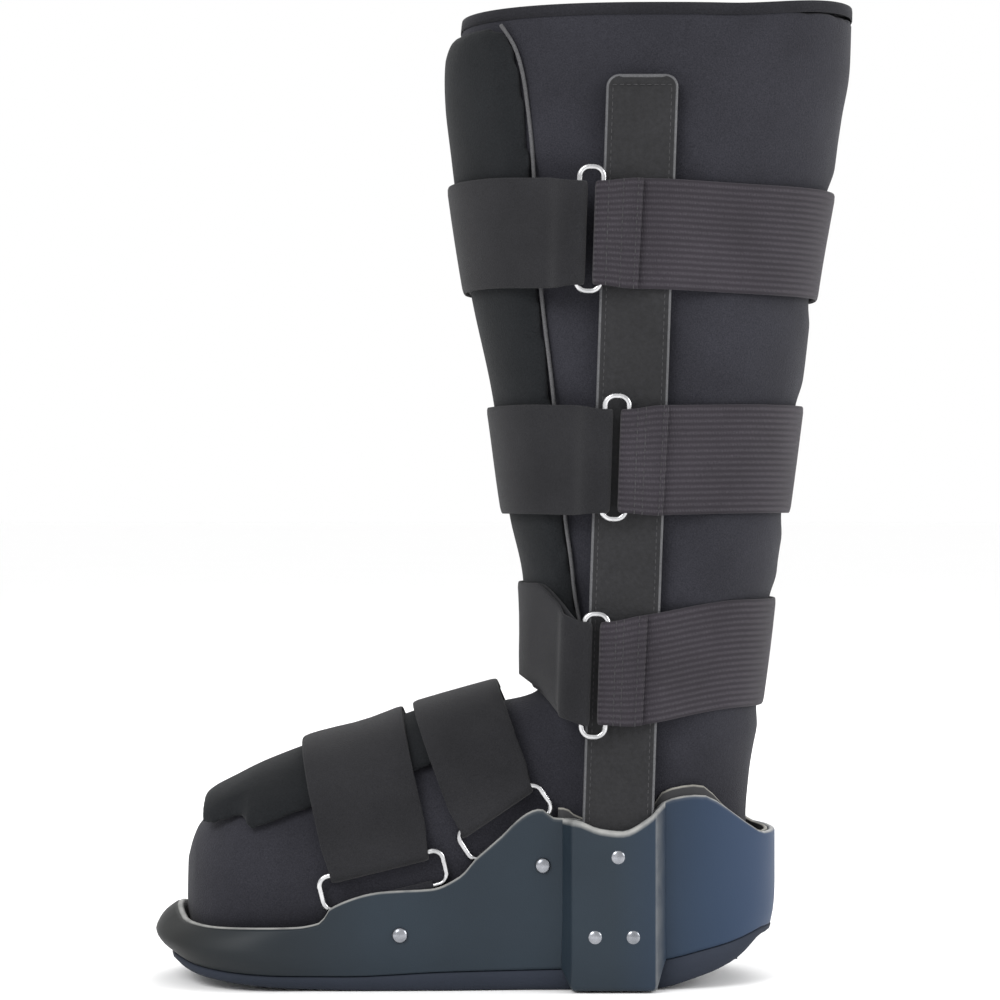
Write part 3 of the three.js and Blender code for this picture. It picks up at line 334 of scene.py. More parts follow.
finishes = {
    "liner": clothMaterial("brushedLiner", {
        "dark": (0.012, 0.012, 0.016), "light": (0.033, 0.033, 0.041), "roughness": 0.95, "shine": 0.15,
        "sheen": 0.08, "fibre": 1700.0, "bump": 0.4, "knit": 1100.0}),
    "flap": clothMaterial("brushedFlap", {
        "dark": (0.006, 0.007, 0.008), "light": (0.017, 0.018, 0.020), "roughness": 0.95, "shine": 0.12,
        "sheen": 0.05, "fibre": 1800.0, "bump": 0.4, "knit": 1100.0}),
    "loop": clothMaterial("loopStrap", {
        "dark": (0.009, 0.009, 0.010), "light": (0.028, 0.028, 0.031), "roughness": 0.97, "shine": 0.12,
        "sheen": 0.08, "fibre": 2600.0, "bump": 0.45, "knit": 1500.0}),
    "webbing": clothMaterial("ribbedWebbing", {
        "dark": (0.022, 0.019, 0.024), "light": (0.058, 0.051, 0.062), "roughness": 0.85, "shine": 0.2,
        "sheen": 0.1, "fibre": 1800.0, "bump": 0.3, "rib": 1.15, "thread": 4.2, "ribDepth": 0.0003}),
    "cover": clothMaterial("coatedCover", {
        "dark": (0.010, 0.010, 0.011), "light": (0.019, 0.019, 0.021), "roughness": 0.6, "shine": 0.22,
        "sheen": 0.03, "fibre": 500.0, "bump": 0.25, "knit": 1100.0}),
    "binding": clothMaterial("wovenBinding", {
        "dark": (0.010, 0.010, 0.012), "light": (0.024, 0.024, 0.029), "roughness": 0.9, "shine": 0.12,
        "sheen": 0.06, "fibre": 1600.0, "bump": 0.5, "knit": 1300.0}),
    "piping": clothMaterial("wovenPiping", {
        "dark": (0.045, 0.045, 0.048), "light": (0.110, 0.110, 0.115), "roughness": 0.7, "shine": 0.3,
        "sheen": 0.1, "fibre": 1600.0, "bump": 0.5, "knit": 1500.0}),
    # painted highlight: the rolled edge is several times paler than the cover, for the light lines along the
    # upright's edges
    "rolled": clothMaterial("rolledEdgeHighlight", {
        "dark": (0.045, 0.046, 0.050), "light": (0.095, 0.096, 0.102), "roughness": 0.45, "shine": 0.5,
        "sheen": 0.03, "fibre": 900.0, "bump": 0.3, "knit": 1200.0}),
    "thread": clothMaterial("darkThread", {
        "dark": (0.020, 0.020, 0.022), "light": (0.060, 0.058, 0.062), "roughness": 0.7, "shine": 0.3,
        "sheen": 0.05, "fibre": 3000.0, "bump": 0.4, "knit": 3500.0}),
    # painted highlight: each 'edge' colour is mixed in where a mesh's trim values are set, on the rims of the
    # shell, housings and counter
    "shell": plasticMaterial("mouldedShell", {
        "dark": (0.010, 0.017, 0.025), "light": (0.016, 0.026, 0.037), "edge": (0.30, 0.30, 0.29),
        # painted reflection: the toe and heel tones, darker at the toe and bluer at the heel
        "toe": (0.007, 0.008, 0.008), "toeReach": (-0.15, -0.06),
        "heel": (0.016, 0.040, 0.095), "heelReach": (0.05, 0.15),
        "roughness": 0.52, "shine": 0.26, "grain": 1500.0, "bump": 0.12}),
    "counter": plasticMaterial("paleCounter", {
        "dark": (0.028, 0.028, 0.030), "light": (0.045, 0.045, 0.046), "edge": (0.30, 0.29, 0.26),
        "roughness": 0.7, "shine": 0.2, "grain": 900.0, "bump": 0.2}),
    "sole": plasticMaterial("mattRubber", {
        "dark": (0.014, 0.018, 0.027), "light": (0.024, 0.029, 0.042), "edge": (0.06, 0.065, 0.075),
        "roughness": 0.8, "shine": 0.2, "grain": 1100.0, "bump": 0.35}),
    "wire": metalMaterial("nickelWire", {
        "dark": (0.40, 0.40, 0.41), "light": (0.62, 0.62, 0.63), "roughness": 0.2}),
    "rivet": metalMaterial("nickelRivet", {
        "dark": (0.20, 0.21, 0.23), "light": (0.36, 0.37, 0.40), "roughness": 0.24}),
}
print("materials ready")


# camera, light and floor

view = {
    "distance": 1.5,  # camera to the boot's middle plane
    "height": 0.225,
    "along": -0.0017,
    "halfWidth": 0.2375,  # half of what the picture shows across at that distance
    "sensor": 36.0,
    "floor": 30,  # half the floor's width
    "below": -0.0002,  # the floor lies just under the sole
}


def makeCamera():
    data = bpy.data.cameras.new("sideCamera")
    data.sensor_width = view["sensor"]
    data.lens = view["sensor"] / 2 * view["distance"] / view["halfWidth"]
    data.clip_start, data.clip_end = 0.05, 60
    camera = bpy.data.objects.new("sideCamera", data)
    camera.location = (view["along"], -view["distance"], view["height"])
    camera.rotation_euler = (math.pi / 2, 0, 0)
    scene.collection.objects.link(camera)
    scene.camera = camera


def makeLight(name, place, aim, size, power):
    data = bpy.data.lights.new(name, "AREA")
    data.shape, data.size, data.energy = "DISK", size, power
    lamp = bpy.data.objects.new(name, data)
    lamp.location = place
    lamp.rotation_euler = (Vector(aim) - Vector(place)).to_track_quat("-Z", "Y").to_euler()
    scene.collection.objects.link(lamp)


def makeStage():
    world = bpy.data.worlds.new("paleStudio")
    world.use_nodes = True
    world.node_tree.nodes["Background"].inputs["Color"].default_value = (1.0, 1.0, 1.0, 1)
    world.node_tree.nodes["Background"].inputs["Strength"].default_value = 1.0
    scene.world = world
    scene.view_settings.view_transform = "Standard"
    material, tree, shader = newMaterial("paleFloor", Roughness=0.9)
    place = node(tree, "ShaderNodeTexCoord").outputs["Object"]
    cloud = node(tree, "ShaderNodeTexNoise", {"Vector": place, "Scale": 2.0, "Detail": 2.0})
    color = colorMix(tree, cloud.outputs["Fac"], (0.985, 0.985, 0.985), (1.0, 1.0, 1.0))
    tree.links.new(color, shader.inputs["Base Color"])
    corners = [(-1, -1), (1, -1), (1, 1), (-1, 1)]
    mesh = bpy.data.meshes.new("floor")
    points = [(x * view["floor"], y * view["floor"], view["below"]) for x, y in corners]
    mesh.from_pydata(points, [], [(0, 1, 2, 3)])
    mesh.materials.append(material)
    addObject("floor", mesh)


makeCamera()
makeStage()
makeLight("keyLight", (-1.2, -1.6, 1.7), (0, 0, 0.2), 1.4, 34)
makeLight("rimLight", (1.7, -0.5, 0.9), (0.05, 0, 0.15), 1.0, 16)
makeLight("backLight", (0.3, 1.8, 1.6), (0, 0, 0.25), 1.6, 20)
print("camera, light and floor ready")


# shapes shared by the pieces, as in the solids

shellLow, shellHigh = boxOf("shell")
uprightLow, uprightHigh = boxOf("upright_lateral")
linerHigh = boxOf("liner")[1]

leg = {
    "height": 450.0, "ankleX": 60.0, "ankleFront": 41.0, "ankleBack": 58.0, "ankleWidth": 91.0,
    "topFront": 80.0, "topBack": linerHigh[0] - 60.0, "topWidth": 2 * linerHigh[1],
    "topRise": linerHigh[2] - 450.0, "power": 2.35,
}
legPlaces = [0.038, 0.068, 0.1, 0.173, 0.244, 0.333, 0.42, 0.484, 0.611, 0.722, 0.853, 0.953, 1]
legFront = smoothCurve(
    legPlaces, [0.18, 0.18, 0.18, 0.1, 0.03, 0, 0.06, 0.22, 0.43, 0.7, 0.92, 1.03, 0.985])
legBack = smoothCurve(
    legPlaces, [-0.02, -0.02, 0, -0.05, 0.02, 0.13, 0.225, 0.32, 0.48, 0.61, 0.83, 0.985, 1])
legWidth = smoothCurve(
    legPlaces, [-0.05, -0.05, -0.05, 0, 0.02, 0.12, 0.24, 0.38, 0.57, 0.71, 0.86, 0.98, 1])

shell = {
    "toe": -shellLow[0], "heel": shellHigh[0], "forefoot": 114.0, "heelWidth": 106.0,
    "height": 89.6, "wall": 3.0, "floor": 3.0, "bumper": 10.4, "edgeRound": 2.0,
    "toeRound": 50.0, "heelCurve": 48.0, "soleThickness": 9.0, "soleRise": 22.0, "gap": 6.0,
}
shellBack = shell["heel"] - shell["wall"]
shellFront = -(shell["toe"] - shell["wall"] - shell["bumper"])
planPlaces = [0, 0.06, 0.13, 0.25, 0.45, 0.62, 0.8, 1]
planFore = smoothCurve(planPlaces, [0.98, 1, 1, 1, 0.7, 0, 0, 0])
planHeel = smoothCurve(planPlaces, [0, 0, 0, 0, 0.3, 1, 0.99, 0.95])
planBumper = smoothCurve(planPlaces, [1, 0.75, 0.5, 0, 0, 0, 0, 0])
rimAlong = [-1, -0.975, -0.94, -0.9, -0.82, -0.7, -0.58, -0.51, -0.48, -0.34, -0.2, -0.12, -0.07, 0.132,
            0.182, 0.255, 0.34, 0.42, 0.52, 0.568, 0.63, 0.69, 0.73, 0.78, 0.83, 0.89, 0.95, 1]
rimShares = [0.54, 0.5, 0.4, 0.33, 0.32, 0.325, 0.33, 0.355, 0.43, 0.51, 0.525, 0.59, 0.69, 0.93,
             0.885, 0.88, 0.835, 0.822, 0.895, 0.963, 0.993, 1, 0.995, 0.953, 0.9, 0.835, 0.785, 0.783]
rimAt = smoothCurve(rimAlong, rimShares)
wallPlaces = [0, 0.14, 0.28, 0.45, 0.63, 0.8, 1]
wallSide = smoothCurve(wallPlaces, [1, 0.4, 0.1, 0, 0, 0, 0])
wallToe = smoothCurve(wallPlaces, [0.75, 0.42, 0.16, 0, 0.15, 0.42, 0.98])
solePlaces = [-0.93, -0.86, -0.73, -0.57, -0.38, -0.15, 0.2, 0.52, 0.71, 0.84, 0.93]
soleRiseAt = smoothCurve(solePlaces, [0.4, 0.25, 0.13, 0.04, 0, 0, 0, 0, 0.27, 0.58, 1])
soleThickAt = smoothCurve(solePlaces, [0.5, 0.55, 0.6, 0.7, 0.8, 1, 1.1, 1.5, 1.36, 1.05, 0.45])

upright = {
    "width": 32.5, "thickness": 6.0, "bottom": 17.0, "top": uprightHigh[2], "x": 49.9, "lean": 0.0312,
    "corner": 5.0, "edge": 1.6,
}
seat = 0.3
padSeat = 0.6
strapSeat = 0.75


def shellShare(x):
    return np.where(x < 0, x / shell["toe"], x / shell["heel"])


def roomHalf(x):
    share = (x - shellFront) / (shellBack - shellFront)
    full = (planFore(share) * shell["forefoot"] + planHeel(share) * shell["heelWidth"]) / 2 - shell["wall"]
    toeEnd = np.clip(1 - (x - shellFront) / shell["toeRound"], 0, 1)
    heelEnd = np.clip(1 - (shellBack - x) / shell["heelCurve"], 0, 1)
    return full * (1 - toeEnd**2.2) ** (1 / 2.2) * (1 - heelEnd**2.2) ** (1 / 2.2)


def rimHeight(x):
    return rimAt(shellShare(x)) * shell["height"]


def soleBottom(x):
    return soleRiseAt(shellShare(x)) * shell["soleRise"]


def soleTop(x):
    return soleBottom(x) + soleThickAt(shellShare(x)) * shell["soleThickness"]


def floorTop(x):
    return soleTop(x) + shell["floor"]


def bumperAt(x):
    return planBumper((x - shellFront) / (shellBack - shellFront)) * shell["bumper"]


def legShape(z):
    # the middle, half depth and half width of the padded leg at a height
    share = z / leg["height"]
    front = leg["ankleX"] - mix(leg["ankleFront"], leg["topFront"], legFront(share))
    back = leg["ankleX"] + mix(leg["ankleBack"], leg["topBack"], legBack(share))
    half = mix(leg["ankleWidth"], leg["topWidth"], legWidth(share)) / 2
    return (front + back) / 2, (back - front) / 2, half


def legPoint(z, angle, out=0.0):
    # angle 0 is the front and grows towards the lateral side
    middle, depth, half = legShape(z)
    power = leg["power"]
    c, s = np.cos(angle), np.sin(angle)
    nx = -rounded(c, power / (power - 1)) / depth
    ny = -rounded(s, power / (power - 1)) / half
    size = np.hypot(nx, ny)
    x = middle - depth * rounded(c, power) + nx / size * out
    y = -half * rounded(s, power) + ny / size * out
    return np.stack(np.broadcast_arrays(x, y, z + 0.0 * x), -1)


ankleRoom = float(roomHalf(leg["ankleX"]))


def uprightInner(z):
    return np.maximum(ankleRoom + seat, legShape(z)[2] + seat)


def uprightMiddle(z):
    return upright["x"] + upright["lean"] * z


# shell, housings, counter and sole

def planPlacesAlong():
    # close together at the rounded ends
    turns = np.linspace(0, np.pi / 2, 16)
    toe = shellFront + shell["toeRound"] * (1 - np.cos(turns))
    heel = shellBack - shell["heelCurve"] * (1 - np.sin(turns))
    between = np.linspace(toe[-1], heel[0], 76)[1:-1]
    return np.concatenate([toe, between, heel])


planAlong = planPlacesAlong()


def planNormals():
    step = 0.05
    before = np.maximum(planAlong - step, shellFront)
    after = np.minimum(planAlong + step, shellBack)
    slope = (roomHalf(after) - roomHalf(before)) / (after - before)
    normal = np.stack([-slope, np.ones_like(slope)], 1)
    normal /= np.linalg.norm(normal, axis=1)[:, None]
    normal[0], normal[-1] = (-1, 0), (1, 0)
    return normal


planNormal = planNormals()


def planRing(out, height):
    # a ring round the plan, moved outwards and set at a height; lateral side first
    x = planAlong + planNormal[:, 0] * out
    y = np.maximum(0, roomHalf(planAlong) + planNormal[:, 1] * out)
    y[0] = y[-1] = 0
    z = height(x) + 0 * x
    lateral = np.stack([x, -y, z], 1)
    medial = np.stack([x, y, z], 1)[1:-1][::-1]
    return np.vstack([lateral, medial])


def wallOut(share):
    bumper = bumperAt(planAlong)
    edge = wallSide(share) * shell["edgeRound"] * (1 - bumper / shell["bumper"])
    return shell["wall"] + bumper * (1 - wallToe(share)) - edge


rimLine = rimHeight(planAlong + shell["wall"] * planNormal[:, 0])


def makeShell():
    rings, trim = [], []

    def put(out, height, pale=0.0):
        rings.append(planRing(out, height))
        trim.append(np.full(len(rings[-1]), pale))

    for share in [0, 0.02, 0.06, 0.12, 0.2, 0.28, 0.36, 0.45, 0.54, 0.63, 0.72, 0.8, 0.87, 0.93, 0.97]:
        put(wallOut(share), lambda x, s=share: mix(soleTop(x), rimLine, s))
    top = wallOut(1.0)
    # painted highlight: the rounded rim top gets pale trim values, where the light catches the edge
    for inwards, drop, pale in [(0, 0.9, 0.1), (0.12, 0.35, 0.8), (0.35, 0.0, 1.0), (0.65, 0.0, 1.0),
                                (0.88, 0.35, 0.6), (1, 1.0, 0.0)]:
        put(top * (1 - inwards), lambda x, d=drop: rimLine - d, pale)
    for share in [0.85, 0.65, 0.4, 0.2, 0.06, 0]:
        put(0.0 * planAlong, lambda x, s=share: mix(floorTop(x) + 3, rimLine - 1.0, s))
    put(np.full(len(planAlong), -shell["wall"]), floorTop)
    return addObject("shellTub", loftMesh("shellTub", rings, capAcross=0, mark=trim))


housing = {
    "width": 40.0, "x": 50.5, "corner": 4.0, "low": 1.0, "round": 2.2, "reach": -shellLow[1],
    "behind": 1.0, "capSlope": 0.1,
}


def makeHousing(side, name):
    # the raised box outside an upright, with soft edges, its top following the rim
    half, out, soft = housing["width"] / 2, housing["reach"], housing["round"]
    shape = [(-half - housing["corner"], 0.0, 0)]
    for sign in (-1, 1):
        turns = np.linspace(0, np.pi / 2, 6)
        arc = [(sign * (half - soft + soft * math.cos(t)), out - soft + soft * math.sin(t), 1) for t in turns]
        shape += arc if sign < 0 else arc[::-1]
        if sign < 0:
            shape += [(x, out, 1) for x in np.linspace(-half + soft, half - soft, 14)[1:-1]]
    shape.append((half + housing["corner"], 0.0, 0))
    rings, trim = [], []

    def heightOf(x, outer, share):
        low = housing["low"] if outer else float(soleTop(x)) + seat
        return mix(low, float(rimHeight(x)), share)

    for share, inset in [(0, 1.0), (0.012, 0.3), (0.03, 0), (0.2, 0), (0.4, 0), (0.6, 0), (0.8, 0),
                         (0.96, 0), (0.985, 0.25), (1, 1.0)]:
        ring, lit = [], []
        for across, reach, outer in shape:
            x = housing["x"] + across * (1 - (inset / half if outer else 0))
            least = float(roomHalf(x)) + 0.8 * shell["wall"]
            y = max(reach - inset, least) if outer else least
            ring.append((x, side * y, heightOf(x, outer, share)))
            # painted highlight: the top edge pale, and the rear edge a little
            lit.append(1.0 if share >= 0.985 else 0.3 * (outer and across > half - 1.2))
        for across, _, outer in reversed(shape):
            x = housing["x"] + across
            y = float(roomHalf(x)) + housing["behind"]
            ring.append((x, side * y, heightOf(x, outer, share) - housing["capSlope"] * share))
        rings.append(ring)
        trim.append(lit + [0.0] * len(shape))
    return addObject(name, loftMesh(name, rings, capAcross=1, mark=trim))


def makeCounter():
    # the thin layer inside the heel, whose pale edge stands above the rim; that pale rounded top is a painted
    # highlight
    reach = np.flatnonzero(planAlong >= 0.19 * shell["heel"])
    x, normal = planAlong[reach], planNormal[reach]
    low = floorTop(x) + shell["floor"] + seat
    rise = 4.5 * (1 - smoothStep(0.7 * shell["heel"], 0.8 * shell["heel"], x))
    inHousing = smoothStep(28, 34, x) * (1 - smoothStep(66, 73, x))
    rise = rise * (1 - 0.75 * inHousing)
    high = rimHeight(x) + rise
    profile = [(0.35, 0.0, 0), (0.35, 0.5, 0), (0.35, 0.985, 0), (0.6, 0.995, 0.9), (1.3, 1.0, 1),
               (2.05, 0.995, 0.9), (2.3, 0.985, 0), (2.3, 0.5, 0), (2.3, 0.0, 0)]
    sections, trim = [], []
    for side in (-1, 1):
        order = range(len(x)) if side < 0 else reversed(range(len(x) - 1))
        for k in order:
            sections.append([(x[k] - normal[k, 0] * inset,
                              side * max(0.0, float(roomHalf(x[k])) - normal[k, 1] * inset),
                              mix(low[k], high[k], share)) for inset, share, _ in profile])
            trim.append([pale for _, _, pale in profile])
    return addObject("heelCounter", loftMesh("heelCounter", sections, mark=trim))


sole = {
    "inset": 1.5, "tread": 1.6, "lugWidth": 5.0, "lugPitch": 9.0, "lugFirst": -128.0, "lugLast": 108.0,
    "lugSide": 7.0, "lugSeat": 0.1,
}


def makeSole():
    base = wallOut(0.0)
    rings = [
        planRing(base - 4.5 * sole["inset"], lambda x: soleBottom(x) + sole["tread"]),
        planRing(base - 3.2 * sole["inset"], lambda x: soleBottom(x) + sole["tread"]),
        planRing(base - 3.0 * sole["inset"], soleBottom),
        planRing(base - 2.0 * sole["inset"], soleBottom),
        planRing(base - 1.2 * sole["inset"], lambda x: mix(soleBottom(x), soleTop(x), 0.05)),
        planRing(base - 0.3 * sole["inset"], lambda x: mix(soleBottom(x), soleTop(x), 0.3)),
        planRing(base, lambda x: mix(soleBottom(x), soleTop(x), 0.6)),
        planRing(base, lambda x: soleTop(x) - 0.9),
        planRing(base - 0.9, lambda x: soleTop(x) - 0.3),
    ]
    return addObject("outsoleRubber", loftMesh("outsoleRubber", rings, capAcross=0))


finishPiece(makeShell(), ["shell"], finishes["shell"])
for side, name in ((-1, "housingLateral"), (1, "housingMedial")):
    finishPiece(makeHousing(side, name), [], finishes["shell"])
finishPiece(makeCounter(), ["inner_counter"], finishes["counter"])
finishPiece(makeSole(), ["outsole"], finishes["sole"])
print("shell, housings, counter and sole made")


# uprights

def makeUpright(side, name):
    # a flat bar in a coated cover, with a rolled edge all round its face
    top, bend, edge = upright["top"], upright["corner"], upright["edge"]
    straight = np.linspace(upright["bottom"], top - bend, 60)
    rounding = top - bend * (1 - np.sin(np.linspace(0.2, np.pi / 2, 7)))
    rings, uv, outline = [], [], []
    for z in np.concatenate([straight, rounding]):
        past = max(0.0, z - (top - bend)) / bend
        trim = bend * (1 - math.sqrt(max(0.0, 1 - past * past)))
        half = upright["width"] / 2 - trim
        inner = float(uprightInner(z))
        outer = inner + upright["thickness"]
        x = uprightMiddle(z)
        outline.append((x, side * (outer - 0.9), z, half - 0.8))
        turns = np.linspace(0, np.pi / 2, 5)
        corner = [(half - edge + edge * math.cos(t), outer - edge + edge * math.sin(t)) for t in turns]
        back = [(half - edge + edge * math.cos(t), inner + edge - edge * math.sin(t)) for t in turns[::-1]]
        face = [(w * (half - edge), outer - 0.35 * (1 - abs(w) ** 4)) for w in np.linspace(0.9, -0.9, 9)]
        shape = back + corner + face + [(-a, b) for a, b in corner[::-1]] + [(-a, b) for a, b in back[::-1]]
        rings.append([(x + a, side * b, z) for a, b in shape])
        uv.append([(z / 10, a / 10) for a, b in shape])
    body = loftMesh(name, rings, uv=uv)
    left = [(x - half, y, z) for x, y, z, half in outline]
    right = [(x + half, y, z) for x, y, z, half in outline]
    line = left + right[::-1]
    rolled = tubeMesh(name + "Edge", line, 0.9, 8)
    return addObject(name, body), addObject(name + "Edge", rolled), line


uprightEdges = {}
for side, word in ((-1, "lateral"), (1, "medial")):
    piece, rolled, uprightEdges[side] = makeUpright(side, "upright" + word.capitalize())
    finishPiece(rolled, [], finishes["rolled"])
    finishPiece(piece, ["upright_" + word], finishes["cover"])
print("uprights made")


# padded pieces

shinEdge = {"height": [0.335, 0.42, 0.484, 0.611, 0.722, 0.853, 0.92, 0.96, 0.985],
            "edge": [0.5, 0.38, 0.38, 0.37, 0.38, 0.40, 0.385, 0.34, 0.25]}
shinEdgeAt = smoothCurve(shinEdge["height"], shinEdge["edge"])
foot = {"ankleX": 60.0, "reach": 210.0, "instep": 131.0, "low": 12.0, "topPower": 2.3, "solePower": 3.6,
        "padSeat": 1.0, "padThickness": 4.5, "padBend": 0.87}
shinThickness = 6.0
footPlaces = [0.03, 0.14, 0.28, 0.38, 0.49, 0.6, 0.7, 0.8, 0.89, 0.943, 0.975, 0.992, 1]
footTop = smoothCurve(
    footPlaces, [1.04, 1.05, 1, 0.957, 0.905, 0.84, 0.8, 0.742, 0.675, 0.6, 0.54, 0.5, 0.45])
footBottom = smoothCurve(footPlaces, [0, 0, 0, 0, 0, 0, 0, 0, 0, 0.05, 0.22, 0.5, 0.9])
footWidth = smoothCurve(footPlaces, [0.93, 0.96, 0.985, 1, 1, 1, 1, 1, 1, 1, 1, 0.85, 0.55])
footEdgePlaces = [0.3, 0.45, 0.6, 0.74, 0.85, 0.862, 0.94, 0.966]
footEdgeAt = smoothCurve(footEdgePlaces, [0.85, 0.76, 0.68, 0.6, 0.545, 0.585, 0.555, 0.565])


def shinEdgeAngle(z):
    middle, depth, _ = legShape(z)
    front = middle - depth
    x = mix(front, leg["ankleX"], shinEdgeAt(z / leg["height"]))
    return np.arccos(np.clip((middle - x) / depth, 0, 1) ** (leg["power"] / 2))


def footShape(x):
    share = (foot["ankleX"] - x) / foot["reach"]
    bottom = floorTop(x) + padSeat + footBottom(share) * foot["low"]
    top = footTop(share) * foot["instep"]
    return top, bottom, footWidth(share) * (roomHalf(x) - shell["gap"]), mix(bottom, top, 0.38)


def footPoint(x, angle):
    top, bottom, half, waist = footShape(x)
    above = math.cos(angle) >= 0
    power = foot["topPower"] if above else foot["solePower"]
    reach = top - waist if above else waist - bottom
    y = -half * rounded(math.sin(angle), power)
    return np.array([x, y, waist + reach * rounded(math.cos(angle), power)])


def footPadBase(x, angle):
    # in front of its last bend the pad runs on straight, past the toe's curve
    bend, step = foot["ankleX"] - foot["padBend"] * foot["reach"], 8
    if x >= bend:
        return footPoint(x, angle)
    near, far = footPoint(bend, angle), footPoint(bend + step, angle)
    return near + (near - far) * (bend - x) / step


def footPadPoint(x, angle, out):
    point = footPadBase(x, angle)
    near, far = footPadBase(x, angle + 0.02), footPadBase(x, angle - 0.02)
    normal = np.array([near[2] - far[2], far[1] - near[1]])
    normal /= np.linalg.norm(normal)
    if math.cos(angle) * normal[1] < 0:
        normal = -normal
    return point + out * np.array([0, normal[0], normal[1]])


def footPadAngle(x):
    share = (foot["ankleX"] - x) / foot["reach"]
    edge = float(footEdgeAt(share) * foot["instep"])
    if share <= foot["padBend"]:
        top, _, _, waist = footShape(x)
        return math.acos(float(np.clip((edge - waist) / (top - waist), 0, 1)) ** (foot["topPower"] / 2))
    angles = np.linspace(0.05, 1.5, 60)
    heights = [footPadBase(x, angle)[2] for angle in angles]
    return float(np.interp(-edge, -np.array(heights), angles))


def padLoft(name, stations, pointAt, reachAt, low, thick, rim):
    # a pad whose edges are rounded down to the rim's thickness
    shares = np.linspace(-1, 1, 61)
    rings = []
    for k, place in enumerate(stations):
        reach = reachAt(place)
        atEnd = min(k, len(stations) - 1 - k)
        end = [0.5, 0.8, 0.93][atEnd] if atEnd < 3 else 1.0
        full = [mix(thick, rim, float(smoothStep(0.86, 1, abs(s)))) * end for s in shares]
        outer = [pointAt(place, s * reach, low + t) for s, t in zip(shares, full)]
        inner = [pointAt(place, s * reach, low) for s in shares]
        rings.append(outer + inner[::-1])
    return loftMesh(name, rings, capAcross=1)


def shinShape(name):
    heights = np.linspace(shinEdge["height"][0], shinEdge["height"][-1], 90) * leg["height"]
    return padLoft(name, heights, legPoint, shinEdgeAngle, padSeat, shinThickness, 3.0)


def footPadShape(name):
    places = foot["ankleX"] - foot["reach"] * np.linspace(0.3, 0.966, 60)
    return padLoft(name, places, footPadPoint, footPadAngle, foot["padSeat"], foot["padThickness"], 2.8)


def linerShape(name):
    bm = bmesh.new()
    bm.from_mesh(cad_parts["liner"].data)
    bmesh.ops.remove_doubles(bm, verts=bm.verts, dist=1e-5)
    mesh = bpy.data.meshes.new(name)
    bm.to_mesh(mesh)
    bm.free()
    return mesh


padding = {
    "bootieLiner": {"shape": linerShape, "voxel": 0.005, "smooth": 6, "cap": 0.0014, "fill": 0.5},
    "shinPad": {"shape": shinShape, "voxel": 0.0025, "smooth": 4, "cap": 0.001, "fill": 0.6},
    "footPad": {"shape": footPadShape, "voxel": 0.0022, "smooth": 4, "cap": 0.0008, "fill": 0.6},
}
foamPressure = 4.0
foamFrames = 20


def coordinates(mesh):
    co = np.zeros(len(mesh.vertices) * 3)
    mesh.vertices.foreach_get("co", co)
    return co.reshape(-1, 3)


def puffed(name, spec):
    # the plain shape, evened out, blown up a little like foam in its cover, then smoothed
    piece = addObject(name, spec["shape"](name))
    voxels = piece.modifiers.new("voxels", "REMESH")
    voxels.mode, voxels.voxel_size = "VOXEL", spec["voxel"]
    soften = piece.modifiers.new("soften", "SMOOTH")
    soften.factor, soften.iterations = 0.5, spec["smooth"]
    applyModifiers(piece)
    rest = coordinates(piece.data)
    cloth = piece.modifiers.new("foam", "CLOTH")
    cloth.settings.quality = 4
    cloth.settings.use_pressure = True
    cloth.settings.uniform_pressure_force = foamPressure
    cloth.settings.effector_weights.gravity = 0
    cloth.collision_settings.use_collision = False
    cloth.point_cache.frame_start, cloth.point_cache.frame_end = 1, foamFrames
    for step in range(1, foamFrames + 1):
        scene.frame_set(step)
    applyModifiers(piece)
    scene.frame_set(1)
    moved = coordinates(piece.data) - rest
    far = np.linalg.norm(moved, axis=1)
    moved *= (np.minimum(far, spec["cap"]) / np.maximum(far, 1e-9))[:, None]
    piece.data.vertices.foreach_set("co", (rest + moved).ravel())
    finer = piece.modifiers.new("finer", "SUBSURF")
    finer.levels = finer.render_levels = 1
    applyModifiers(piece)
    shadeSmooth(piece.data)
    return piece


legStraps = [
    {"middle": 346.0, "ringX": 39.0, "frontRise": 2.0, "backRise": -2.0, "sewn": 19.0},
    {"middle": 243.0, "ringX": 50.7, "frontRise": 1.0, "backRise": 1.0, "sewn": 18.0},
    {"middle": 146.0, "ringX": 41.5, "frontRise": 15.5, "backRise": 8.0, "sewn": 17.0},
]


def legReach(co):
    # how far out points are, where 1 is the leg's own surface
    middle, depth, half = legShape(np.clip(co[:, 2], 60, leg["height"]))
    power = leg["power"]
    reach = np.abs((co[:, 0] - middle) / depth) ** power + np.abs(co[:, 1] / half) ** power
    return middle, depth, half, reach ** (1 / power)


